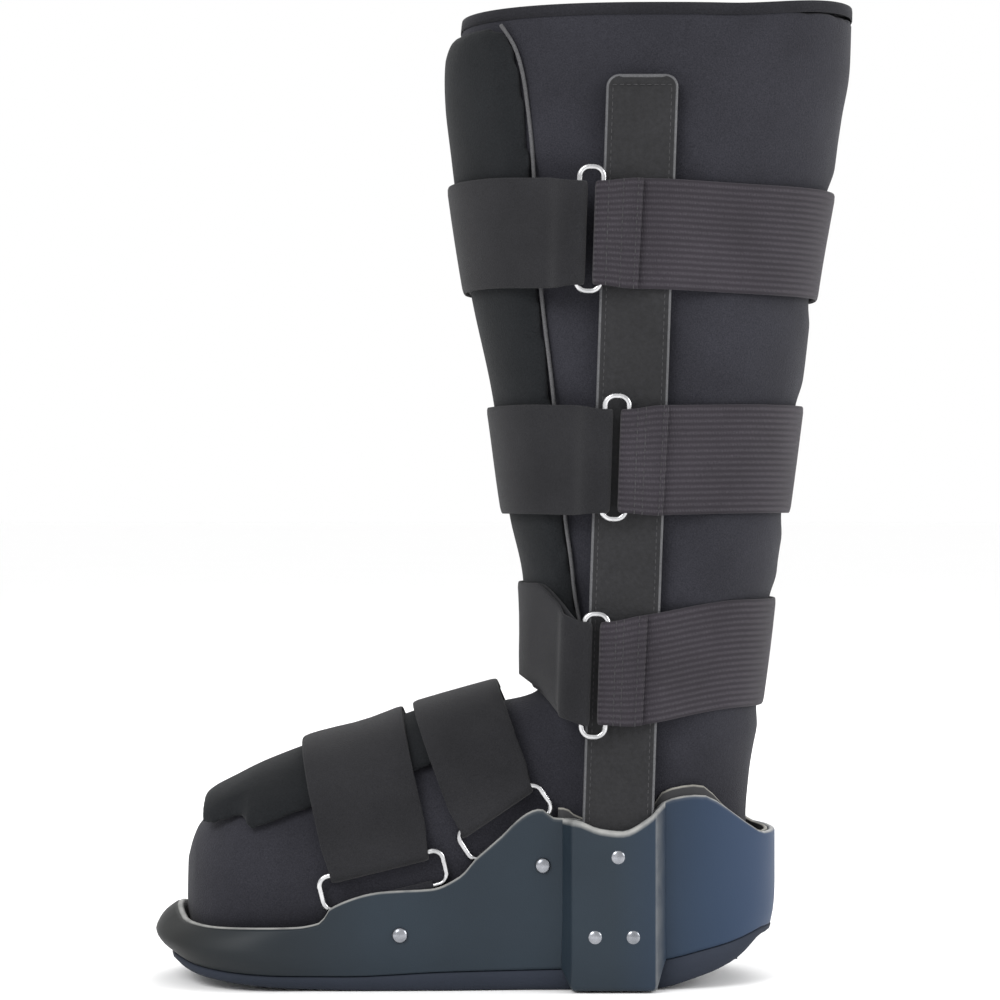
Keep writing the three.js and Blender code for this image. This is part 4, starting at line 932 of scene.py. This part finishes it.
def cinch(piece, bulge, pinch):
    # the padding swells between the straps and is pressed in under them
    mesh = piece.data
    co = coordinates(mesh) / unit
    normal = np.zeros(len(mesh.vertices) * 3)
    mesh.vertices.foreach_get("normal", normal)
    normal = normal.reshape(-1, 3)
    x, y, z = co.T
    middle, depth, half, reach = legReach(co)
    outer = smoothStep(0.86, 0.95, reach) * smoothStep(95, 125, z)
    turn = (middle - x) / np.maximum(depth, 1)
    pressed = np.zeros(len(co))
    for strap in legStraps:
        rise = np.where(turn > 0, strap["frontRise"], strap["backRise"]) * np.clip(np.abs(turn), 0, 1) ** 2
        away = np.abs(z - strap["middle"] - rise)
        pressed = np.maximum(pressed, 1 - smoothStep(24, 38, away))
    bar = 1 - smoothStep(14, 26, np.abs(x - uprightMiddle(z)))
    bar *= smoothStep(0.6, 0.8, np.abs(y) / half) * (1 - smoothStep(upright["top"], upright["top"] + 14, z))
    free = (1 - pressed) * (1 - bar) * (1 - smoothStep(425, 446, z))
    wave = np.array([noise.noise(Vector((p[0] / 60, p[1] / 60, p[2] / 22))) for p in co])
    out = outer * (free * (bulge + 0.7 * wave) - pinch * pressed * (1 - 0.5 * bar))
    moved = co + normal * out[:, None]
    # the bound rim keeps its full width
    middle, _, _, reach = legReach(moved)
    pull = smoothStep(0.93, 0.965, reach) * smoothStep(405, 432, moved[:, 2])
    grow = mix(1, 1 / np.maximum(reach, 0.5), pull)
    moved[:, 0] = middle + (moved[:, 0] - middle) * grow
    moved[:, 1] *= grow
    mesh.vertices.foreach_set("co", (moved * unit).ravel())
    mesh.update()


pads = {}
for name, spec in padding.items():
    pads[name] = puffed(name, spec)
    print(name, "padded,", len(pads[name].data.polygons), "faces")
cinch(pads["bootieLiner"], 1.5, 0.4)
finishPiece(pads["bootieLiner"], ["liner"], finishes["liner"])
finishPiece(pads["shinPad"], ["shin_flap"], finishes["flap"])
finishPiece(pads["footPad"], ["foot_flap"], finishes["flap"])


# binding and piping

binding = {"height": 4.5, "thickness": 0.7, "outside": -0.2, "inside": -8.2, "steps": 140}


def topEdge(x):
    low, high = leg["ankleX"] + 0.4 * leg["topBack"], leg["ankleX"] + leg["topBack"]
    return leg["topRise"] * smoothStep(low, high, x)


def makeBinding():
    rings = []
    outside, inside, thick = binding["outside"], binding["inside"], binding["thickness"]
    for angle in np.linspace(0, 2 * np.pi, binding["steps"], endpoint=False):
        lift = float(topEdge(legPoint(leg["height"], angle)[0]))
        top = leg["height"] + lift + seat
        profile = [(outside, -binding["height"]), (outside, 0), (inside, 0), (inside, -binding["height"]),
                   (inside - thick, -binding["height"]), (inside - thick, -0.5), (inside - 0.5, 0.9),
                   (inside + 1.6, thick + 0.3), (inside / 2, thick + 0.6), (outside - 1.6, thick + 0.3),
                   (outside + 0.5, 0.9), (outside + thick, -0.5), (outside + thick, -binding["height"])]
        ring = []
        for out, up in profile:
            p = legPoint(leg["height"] + min(up, 0), angle, out)
            ring.append((p[0], p[1], top + up))
        rings.append(ring)
    return addObject("topBinding", loftMesh("topBinding", rings, loop=True))


finishPiece(makeBinding(), ["top_binding"], finishes["binding"])

piping = {"radius": 0.9, "steps": 90, "out": 2.5}


def makePiping(side, name):
    path = []
    top = shinEdge["height"][-1] * leg["height"]
    for z in np.linspace(shinEdge["height"][0] * leg["height"], top, piping["steps"]):
        middle, depth, half = legShape(z)
        step = (piping["radius"] + seat) / math.hypot(depth, half)
        path.append(legPoint(z, side * (shinEdgeAngle(z) + 0.6 * step), piping["out"]))
    return addObject(name, tubeMesh(name, relax(np.array(path), 3), piping["radius"], 10))


finishPiece(makePiping(1, "shinPipingLateral"), ["shin_piping_lateral"], finishes["piping"])
finishPiece(makePiping(-1, "shinPipingMedial"), ["shin_piping_medial"], finishes["piping"])
print("binding and piping made")


# straps

strapShape = {
    "width": 50.0, "thickness": 2.0, "wire": 1.35, "turn": 0.5, "ringWidth": 11.0, "footRingWidth": 16.0,
    "gather": 0.94, "gatherLength": 14.0, "span": 0.9, "frontBack": 0.62, "footBack": 0.55,
}
turnRadius = strapShape["wire"] + strapShape["turn"] + strapShape["thickness"] / 2
onTop = strapSeat + strapShape["thickness"] / 2
strapRows = np.array([-0.5, -0.485, -0.44, -0.35, -0.18, 0, 0.18, 0.35, 0.44, 0.485, 0.5])
rowThick = np.array([0.35, 0.75, 1, 1, 1, 1, 1, 1, 1, 0.75, 0.35])
roundTurns = np.linspace(0, 2 * np.pi, 200, endpoint=False)


def ringRest(strap, share, z):
    x = strap["ringX"] + share * strapShape["ringWidth"] + upright["lean"] * (z - strap["middle"])
    return np.array([x, -float(uprightInner(z)) - upright["thickness"], z])


def legPile(z):
    # all that a strap lies on at this height
    pile = [legPoint(z, roundTurns)]
    if z > shinEdge["height"][0] * leg["height"] - strapShape["width"] / 2:
        reach = 0.85 * float(shinEdgeAngle(max(z, shinEdge["height"][0] * leg["height"])))
        pile.append(legPoint(z, np.linspace(-reach, reach, 25), padSeat + shinThickness))
    inner = float(uprightInner(z))
    x, half, edge = uprightMiddle(z), upright["width"] / 2, upright["edge"]
    outer = inner + upright["thickness"]
    for side in (-1, 1):
        pile.append(np.array([[x - half + edge, side * outer, z], [x - half, side * (outer - edge), z],
                              [x + half - edge, side * outer, z], [x + half, side * (outer - edge), z]]))
    return pile


def lineRound(pile, normalAt, start, end, steps):
    # the tight line round a pile: in each direction its outermost point, moved out
    line = []
    for angle in np.linspace(start, end, steps):
        normal = normalAt(angle)
        line.append(pile[np.argmax(pile @ normal)] + normal * onTop)
    return np.array(line)


def stretch(line, keep):
    # the part of a line where keep is above nought
    run = []
    for a, b in zip(line[:-1], line[1:]):
        here, there = keep(a), keep(b)
        if here > 0:
            run.append(a)
        if (here > 0) != (there > 0):
            run.append(mix(a, b, here / (here - there)))
    return np.array(run)


def foldedStrap(name, wide, back, over, centre):
    # wide is rows x stations x 3; the strap turns outwards round its ring and runs back over itself
    rows, count = wide.shape[0], wide.shape[1] - 1
    step = np.linalg.norm(np.diff(wide[0], axis=0), axis=1).sum() / count
    toEnd = (count - np.arange(count + 1)) * step
    drawn = mix(strapShape["gather"], 1, smoothStep(0, strapShape["gatherLength"], toEnd))
    middle = (wide[0] + wide[-1]) / 2
    wide = middle + (wide - middle) * drawn[None, :, None]
    along = np.gradient(wide, axis=1)
    across = np.gradient(wide, axis=0)
    normal = np.cross(along, across)
    normal /= np.linalg.norm(normal, axis=2)[:, :, None]
    flip = np.sign(((wide - centre) * normal).sum(2))
    normal *= flip[:, :, None]
    places, sides = [], []
    for i in range(count + 1):
        raised = np.clip((over - i * step) / 8 + 1, 0, 1) if over > 0 else 0
        lift = smoothStep(0, 1, raised) * (strapShape["thickness"] + seat)
        places.append(wide[:, i] + normal[:, i] * lift)
        sides.append(-normal[:, i])
    ahead = wide[:, -1] - wide[:, -3]
    ahead /= np.linalg.norm(ahead, axis=1)[:, None]
    bars = wide[:, -1] + normal[:, -1] * turnRadius
    for turn in np.linspace(0, np.pi, 11)[1:-1]:
        side = ahead * math.sin(turn) - normal[:, -1] * math.cos(turn)
        places.append(bars + side * turnRadius)
        sides.append(side)
    firstBack = len(places)
    for i in range(count, -1, -1):
        if toEnd[i] > back:
            break
        near = 1 - smoothStep(0, strapShape["gatherLength"], toEnd[i])
        lift = mix(strapShape["thickness"] + seat, 2 * turnRadius, near)
        places.append(wide[:, i] + normal[:, i] * lift)
        sides.append(normal[:, i])
    places, sides = np.array(places), np.array(sides)
    thick = strapShape["thickness"] / 2 * rowThick[None, :, None]
    inner, outer = places - sides * thick, places + sides * thick
    rings = np.concatenate([inner, outer[:, ::-1]], 1)
    steps = np.linalg.norm(np.diff(places[:, rows // 2], axis=0), axis=1)
    run = np.concatenate([[0], np.cumsum(steps)])
    width = np.linalg.norm(wide[0, count // 2] - wide[-1, count // 2])
    v = np.concatenate([strapRows, strapRows[::-1]]) * width / 10
    uv = np.stack(np.broadcast_arrays(run[:, None] / 10, v[None, :]), -1)
    piece = addObject(name, loftMesh(name, rings, uv=uv))
    return {"piece": piece, "outer": outer, "firstBack": firstBack, "run": run}


def aroundLeg(angle):
    return np.array([-math.cos(angle), -math.sin(angle), 0.0])


def legStrap(strap, front, name):
    lines = []
    middle, depth, _ = legShape(strap["middle"])
    far = middle - depth - padSeat - shinThickness if front else middle + depth
    bar = -0.5 if front else 0.5
    near = ringRest(strap, bar, strap["middle"])[0]
    rise = strap["frontRise"] if front else strap["backRise"]
    start, end = (-np.pi, np.pi) if front else (2 * np.pi, 0)
    medialX = uprightMiddle(strap["middle"]) + (1 if front else -1) * upright["width"] / 3
    for share in strapRows:
        z = strap["middle"] + share * strapShape["width"]
        rests = [ringRest(strap, way * strapShape["span"], z) for way in (-1, 1)]
        line = lineRound(np.vstack([*legPile(z), *rests]), aroundLeg, start, end, 260)
        ringX = ringRest(strap, bar, z)[0]

        def keep(p):
            limit = ringX if p[1] < 0 else medialX
            return limit - p[0] if front else p[0] - limit

        line = relax(resample(stretch(line, keep), 170 if front else 130), 3)
        # it rises evenly from the ring to the front or the back
        line[:, 2] += rise * smoothStep(0, 0.85, (line[:, 0] - near) / (far - near))
        lines.append(line)
    wide = np.array(lines)
    length = np.linalg.norm(np.diff(wide[0], axis=0), axis=1).sum()
    back = strapShape["frontBack"] * length if front else strap["sewn"]
    over = 0.8 * upright["width"] if front else 0
    return foldedStrap(name, wide, back, over, np.array([leg["ankleX"], 0, strap["middle"]]))


strapsMade = {}
for i, strap in enumerate(legStraps, 1):
    made = legStrap(strap, True, f"frontStrap{i}")
    finishPiece(made["piece"], [f"strap_front_{i}"], finishes["loop"])
    strapsMade[f"front{i}"] = made
    made = legStrap(strap, False, f"rearStrap{i}")
    finishPiece(made["piece"], [f"strap_rear_{i}"], finishes["webbing"])
    strapsMade[f"rear{i}"] = made
print("leg straps made")

footStraps = [
    {"x": -57.2, "z": 58.0, "slope": 13.5, "tilt": 13.0, "width": 49.0},
    {"x": -3.7, "z": 83.0, "slope": 33.0, "tilt": 21.0, "width": 41.0},
]


def footStrap(strap, name):
    tilt, slope = math.radians(strap["tilt"]), math.tan(math.radians(strap["slope"]))
    across = np.array([math.cos(tilt), 0, math.sin(tilt)])
    up = np.array([-math.sin(tilt), 0, math.cos(tilt)])
    origin = np.array([strap["x"], 0, strap["z"]])
    lines = []
    for share in strapRows:
        def onPlane(place):
            x = strap["x"]
            for _ in range(12):
                point = place(x)
                x -= ((point - origin) @ across - share * strap["width"]) / across[0]
            return place(x)

        pile = [onPlane(lambda x, a=a: footPoint(x, a)) for a in np.linspace(-2.5, 2.5, 121)]
        out = foot["padSeat"] + foot["padThickness"]
        pile += [onPlane(lambda x, s=s: footPadPoint(x, s * 0.95 * footPadAngle(x), out))
                 for s in np.linspace(-1, 1, 31)]
        low = strapShape["footRingWidth"] / 2
        pile.append(onPlane(lambda x: np.array([x, -float(roomHalf(x)) + shell["gap"] - seat,
                                                strap["z"] + slope * (x - strap["x"]) - low])))
        line = lineRound(np.array(pile), lambda a: np.array([0, -math.sin(a), 0]) + up * math.cos(a),
                         -0.8 * np.pi, 0.8 * np.pi, 240)

        def keep(p):
            if p[1] < 0:
                return p[2] - strap["z"] - slope * (p[0] - strap["x"])
            return p[2] - (float(rimHeight(p[0])) - 2 * shell["gap"])

        lines.append(relax(resample(stretch(line, keep), 150), 3))
    wide = np.array(lines)
    length = np.linalg.norm(np.diff(wide[0], axis=0), axis=1).sum()
    return foldedStrap(name, wide, strapShape["footBack"] * length, 0, origin)


for i, strap in enumerate(footStraps, 1):
    made = footStrap(strap, f"footStrap{i}")
    finishPiece(made["piece"], [f"foot_strap_{i}"], finishes["loop"])
    strapsMade[f"foot{i}"] = made
print("foot straps made")


# rings and tabs

ringCorner = 4.6


def ringAxes(points):
    # the ring's middle, its long direction and its short one
    centre = points.mean(0)
    axes = np.linalg.eigh(np.cov((points - centre).T))[1]
    return centre, axes[:, 2], axes[:, 1]


def makeRing(nodeName, name):
    # a smooth wire ring fitted to the plain one
    points = pointsOf(nodeName)
    centre, along, across = ringAxes(points)
    wire, corner = strapShape["wire"], ringCorner
    length = np.abs((points - centre) @ along).max() - wire
    width = np.abs((points - centre) @ across).max() - wire
    path = []
    for sx, sy, start in ((1, 1, 0), (-1, 1, 90), (-1, -1, 180), (1, -1, 270)):
        for turn in np.radians(start + np.linspace(0, 90, 10)):
            path.append(centre + across * (sx * (width - corner) + corner * math.cos(turn))
                        + along * (sy * (length - corner) + corner * math.sin(turn)))
    return addObject(name, tubeMesh(name, path, wire, 12, loop=True))


for i in range(1, 6):
    finishPiece(makeRing(f"ring_{i}", f"wireRing{i}"), [f"ring_{i}"], finishes["wire"])


def makeTab(nodeName, ringName, name, wider):
    # the webbing tab that holds a foot ring's lower bar, stretched along the ring so its dark cloth also
    # fills the band under the strap's fold: partly a real tab, partly painted shade
    bm = bmesh.new()
    bm.from_mesh(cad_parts[nodeName].data)
    bmesh.ops.remove_doubles(bm, verts=bm.verts, dist=1e-6)
    centre, along, _ = ringAxes(pointsOf(ringName))
    for vert in bm.verts:
        offset = (np.array(vert.co) - centre * unit) @ along
        vert.co = Vector(np.array(vert.co) + along * offset * (wider - 1))
    mesh = bpy.data.meshes.new(name)
    bm.to_mesh(mesh)
    bm.free()
    return addObject(name, mesh)


# painted shade in part: the tabs are widened beyond the plain ones to darken the shaded band below the rings
for i, wider in ((1, 1.36), (2, 1.12)):
    tab = makeTab(f"ring_tab_{i}", f"ring_{i + 3}", f"ringTab{i}", wider)
    finishPiece(tab, [f"ring_tab_{i}"], finishes["binding"])
print("rings and tabs made")


# what repeats: stitches, rivets and tread, each by its own tree

def newTree(name, inputs):
    tree = bpy.data.node_groups.new(name, "GeometryNodeTree")
    tree.interface.new_socket("Geometry", in_out="INPUT", socket_type="NodeSocketGeometry")
    for label, kind, value in inputs:
        socket = tree.interface.new_socket(label, in_out="INPUT", socket_type=kind)
        if value is not None:
            socket.default_value = value
    tree.interface.new_socket("Geometry", in_out="OUTPUT", socket_type="NodeSocketGeometry")
    return tree, node(tree, "NodeGroupInput"), node(tree, "NodeGroupOutput")


def endTree(tree, source, geometry, output):
    real = node(tree, "GeometryNodeRealizeInstances", {"Geometry": geometry})
    painted = node(tree, "GeometryNodeSetMaterial",
                   {"Geometry": real.outputs[0], "Material": source.outputs["Material"]})
    smooth = node(tree, "GeometryNodeSetShadeSmooth", {0: painted.outputs[0]})
    tree.links.new(smooth.outputs[0], output.inputs[0])


def stitchTree():
    tree, source, output = newTree("stitchRun", [
        ("Pitch", "NodeSocketFloat", 0.003), ("Length", "NodeSocketFloat", 0.002),
        ("Radius", "NodeSocketFloat", 0.0003), ("Material", "NodeSocketMaterial", None)])
    curve = node(tree, "GeometryNodeMeshToCurve", {"Mesh": source.outputs["Geometry"]})
    spots = node(tree, "GeometryNodeCurveToPoints",
                 {"Curve": curve.outputs[0], "Length": source.outputs["Pitch"]}, mode="LENGTH")
    ball = node(tree, "GeometryNodeMeshUVSphere",
                {"Segments": 6, "Rings": 5, "Radius": source.outputs["Radius"]})
    half = node(tree, "ShaderNodeMath", {0: source.outputs["Length"], 1: source.outputs["Radius"]},
                operation="DIVIDE")
    stretchBy = node(tree, "ShaderNodeMath", {0: half.outputs[0], 1: 0.5}, operation="MULTIPLY")
    size = node(tree, "ShaderNodeCombineXYZ", {"X": 1.0, "Y": 1.0, "Z": stretchBy.outputs[0]})
    laid = node(tree, "GeometryNodeInstanceOnPoints",
                {"Points": spots.outputs["Points"], "Instance": ball.outputs[0],
                 "Rotation": spots.outputs["Rotation"], "Scale": size.outputs[0]})
    endTree(tree, source, laid.outputs[0], output)
    return tree


def rivetTree():
    tree, source, output = newTree("rivetHeads", [
        ("Radius", "NodeSocketFloat", 0.0036), ("Rise", "NodeSocketFloat", 0.5),
        ("Material", "NodeSocketMaterial", None)])
    aim = node(tree, "GeometryNodeInputNamedAttribute", {"Name": "aim"}, data_type="FLOAT_VECTOR")
    turn = node(tree, "FunctionNodeAlignRotationToVector", {"Vector": aim.outputs[0]}, axis="Z")
    ball = node(tree, "GeometryNodeMeshUVSphere",
                {"Segments": 24, "Rings": 16, "Radius": source.outputs["Radius"]})
    squash = node(tree, "ShaderNodeCombineXYZ", {"X": 1.0, "Y": 1.0, "Z": source.outputs["Rise"]})
    dome = node(tree, "GeometryNodeTransform", {"Geometry": ball.outputs[0], "Scale": squash.outputs[0]})
    laid = node(tree, "GeometryNodeInstanceOnPoints",
                {"Points": source.outputs["Geometry"], "Instance": dome.outputs[0],
                 "Rotation": turn.outputs[0]})
    endTree(tree, source, laid.outputs[0], output)
    return tree


def lugTree():
    tree, source, output = newTree("treadLugs", [
        ("Width", "NodeSocketFloat", 0.005), ("Depth", "NodeSocketFloat", 0.002),
        ("Material", "NodeSocketMaterial", None)])
    span = node(tree, "GeometryNodeInputNamedAttribute", {"Name": "span"}, data_type="FLOAT")
    size = node(tree, "ShaderNodeCombineXYZ",
                {"X": source.outputs["Width"], "Y": 1.0, "Z": source.outputs["Depth"]})
    block = node(tree, "GeometryNodeMeshCube", {"Size": size.outputs[0]})
    grow = node(tree, "ShaderNodeCombineXYZ", {"X": 1.0, "Y": span.outputs[0], "Z": 1.0})
    laid = node(tree, "GeometryNodeInstanceOnPoints",
                {"Points": source.outputs["Geometry"], "Instance": block.outputs[0],
                 "Scale": grow.outputs[0]})
    endTree(tree, source, laid.outputs[0], output)
    return tree


def growFrom(name, points, edges, tree, inputs, attributes=None):
    # a mesh of points and lines, dressed by a tree, then made plain
    mesh = bpy.data.meshes.new(name)
    mesh.from_pydata((np.asarray(points) * unit).tolist(), edges, [])
    for label, kind, values in attributes or []:
        attribute = mesh.attributes.new(label, kind, "POINT")
        key = "vector" if kind == "FLOAT_VECTOR" else "value"
        attribute.data.foreach_set(key, np.asarray(values, np.float32).ravel())
    piece = addObject(name, mesh)
    modifier = piece.modifiers.new("grow", "NODES")
    modifier.node_group = tree
    for item in tree.interface.items_tree:
        if item.in_out == "INPUT" and item.name in inputs:
            modifier[item.identifier] = inputs[item.name]
    applyModifiers(piece)
    return piece


def lineEdges(lines):
    points, edges = [], []
    for line in lines:
        start = len(points)
        points += [tuple(p) for p in line]
        edges += [(start + k, start + k + 1) for k in range(len(line) - 1)]
    return points, edges


stitches = {
    "pitch": 0.0031, "length": 0.0021, "radius": 0.00028,
    "seams": (3.0, 8.0, 15.0),  # how far the rear straps' seams are from the ring
    "pull": 0.86, "out": 0.75, "fromTop": 4.0,
}


def strapStitchLines():
    lines = []
    for key, made in strapsMade.items():
        if key.startswith("rear"):
            first = made["firstBack"]
            back = made["run"][first:]
            for distance in stitches["seams"]:
                i = first + int(np.argmin(np.abs(back - back[0] - distance)))
                lines.append(made["outer"][i][1:-1])
    return lines


def uprightStitchLines():
    lines = []
    top = upright["top"] - stitches["fromTop"]
    for side, outline in uprightEdges.items():
        lines.append([(mix(uprightMiddle(z), x, stitches["pull"]), y + side * stitches["out"], min(z, top))
                      for x, y, z in outline])
    return lines


stitchInputs = {"Pitch": stitches["pitch"], "Length": stitches["length"], "Radius": stitches["radius"],
                "Material": finishes["thread"]}
stitchRun = stitchTree()
points, edges = lineEdges(strapStitchLines())
finishPiece(growFrom("strapStitches", points, edges, stitchRun, stitchInputs), [], None)
points, edges = lineEdges(uprightStitchLines())
finishPiece(growFrom("uprightStitches", points, edges, stitchRun, stitchInputs), [], None)

rivetNodes = sorted(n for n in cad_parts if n.startswith("rivet_"))
centres, aims = [], []
for nodeName in rivetNodes:
    low, high = boxOf(nodeName)
    side = -1 if "lateral" in nodeName else 1
    base = high[1] if side < 0 else low[1]
    centres.append(((low[0] + high[0]) / 2, base, (low[2] + high[2]) / 2))
    aims.append((0, side, 0))
rivetHead = {"Radius": 0.0036, "Rise": 0.5, "Material": finishes["rivet"]}
rivets = growFrom("rivetHeads", centres, [], rivetTree(), rivetHead, [("aim", "FLOAT_VECTOR", aims)])
finishPiece(rivets, rivetNodes, None)

lugSpots, lugSpans = [], []
for x in np.arange(sole["lugFirst"], sole["lugLast"], sole["lugPitch"]):
    lugSpots.append((x, 0, float(soleBottom(x)) + sole["tread"] / 2 + sole["lugSeat"]))
    lugSpans.append(2 * (float(roomHalf(x)) - sole["lugSide"]) * unit)
lugSize = {"Width": sole["lugWidth"] * unit, "Depth": sole["tread"] * unit, "Material": finishes["sole"]}
lugs = growFrom("treadLugs", lugSpots, [], lugTree(), lugSize, [("span", "FLOAT", lugSpans)])
finishPiece(lugs, [], None)
print("stitches, rivets and tread made")
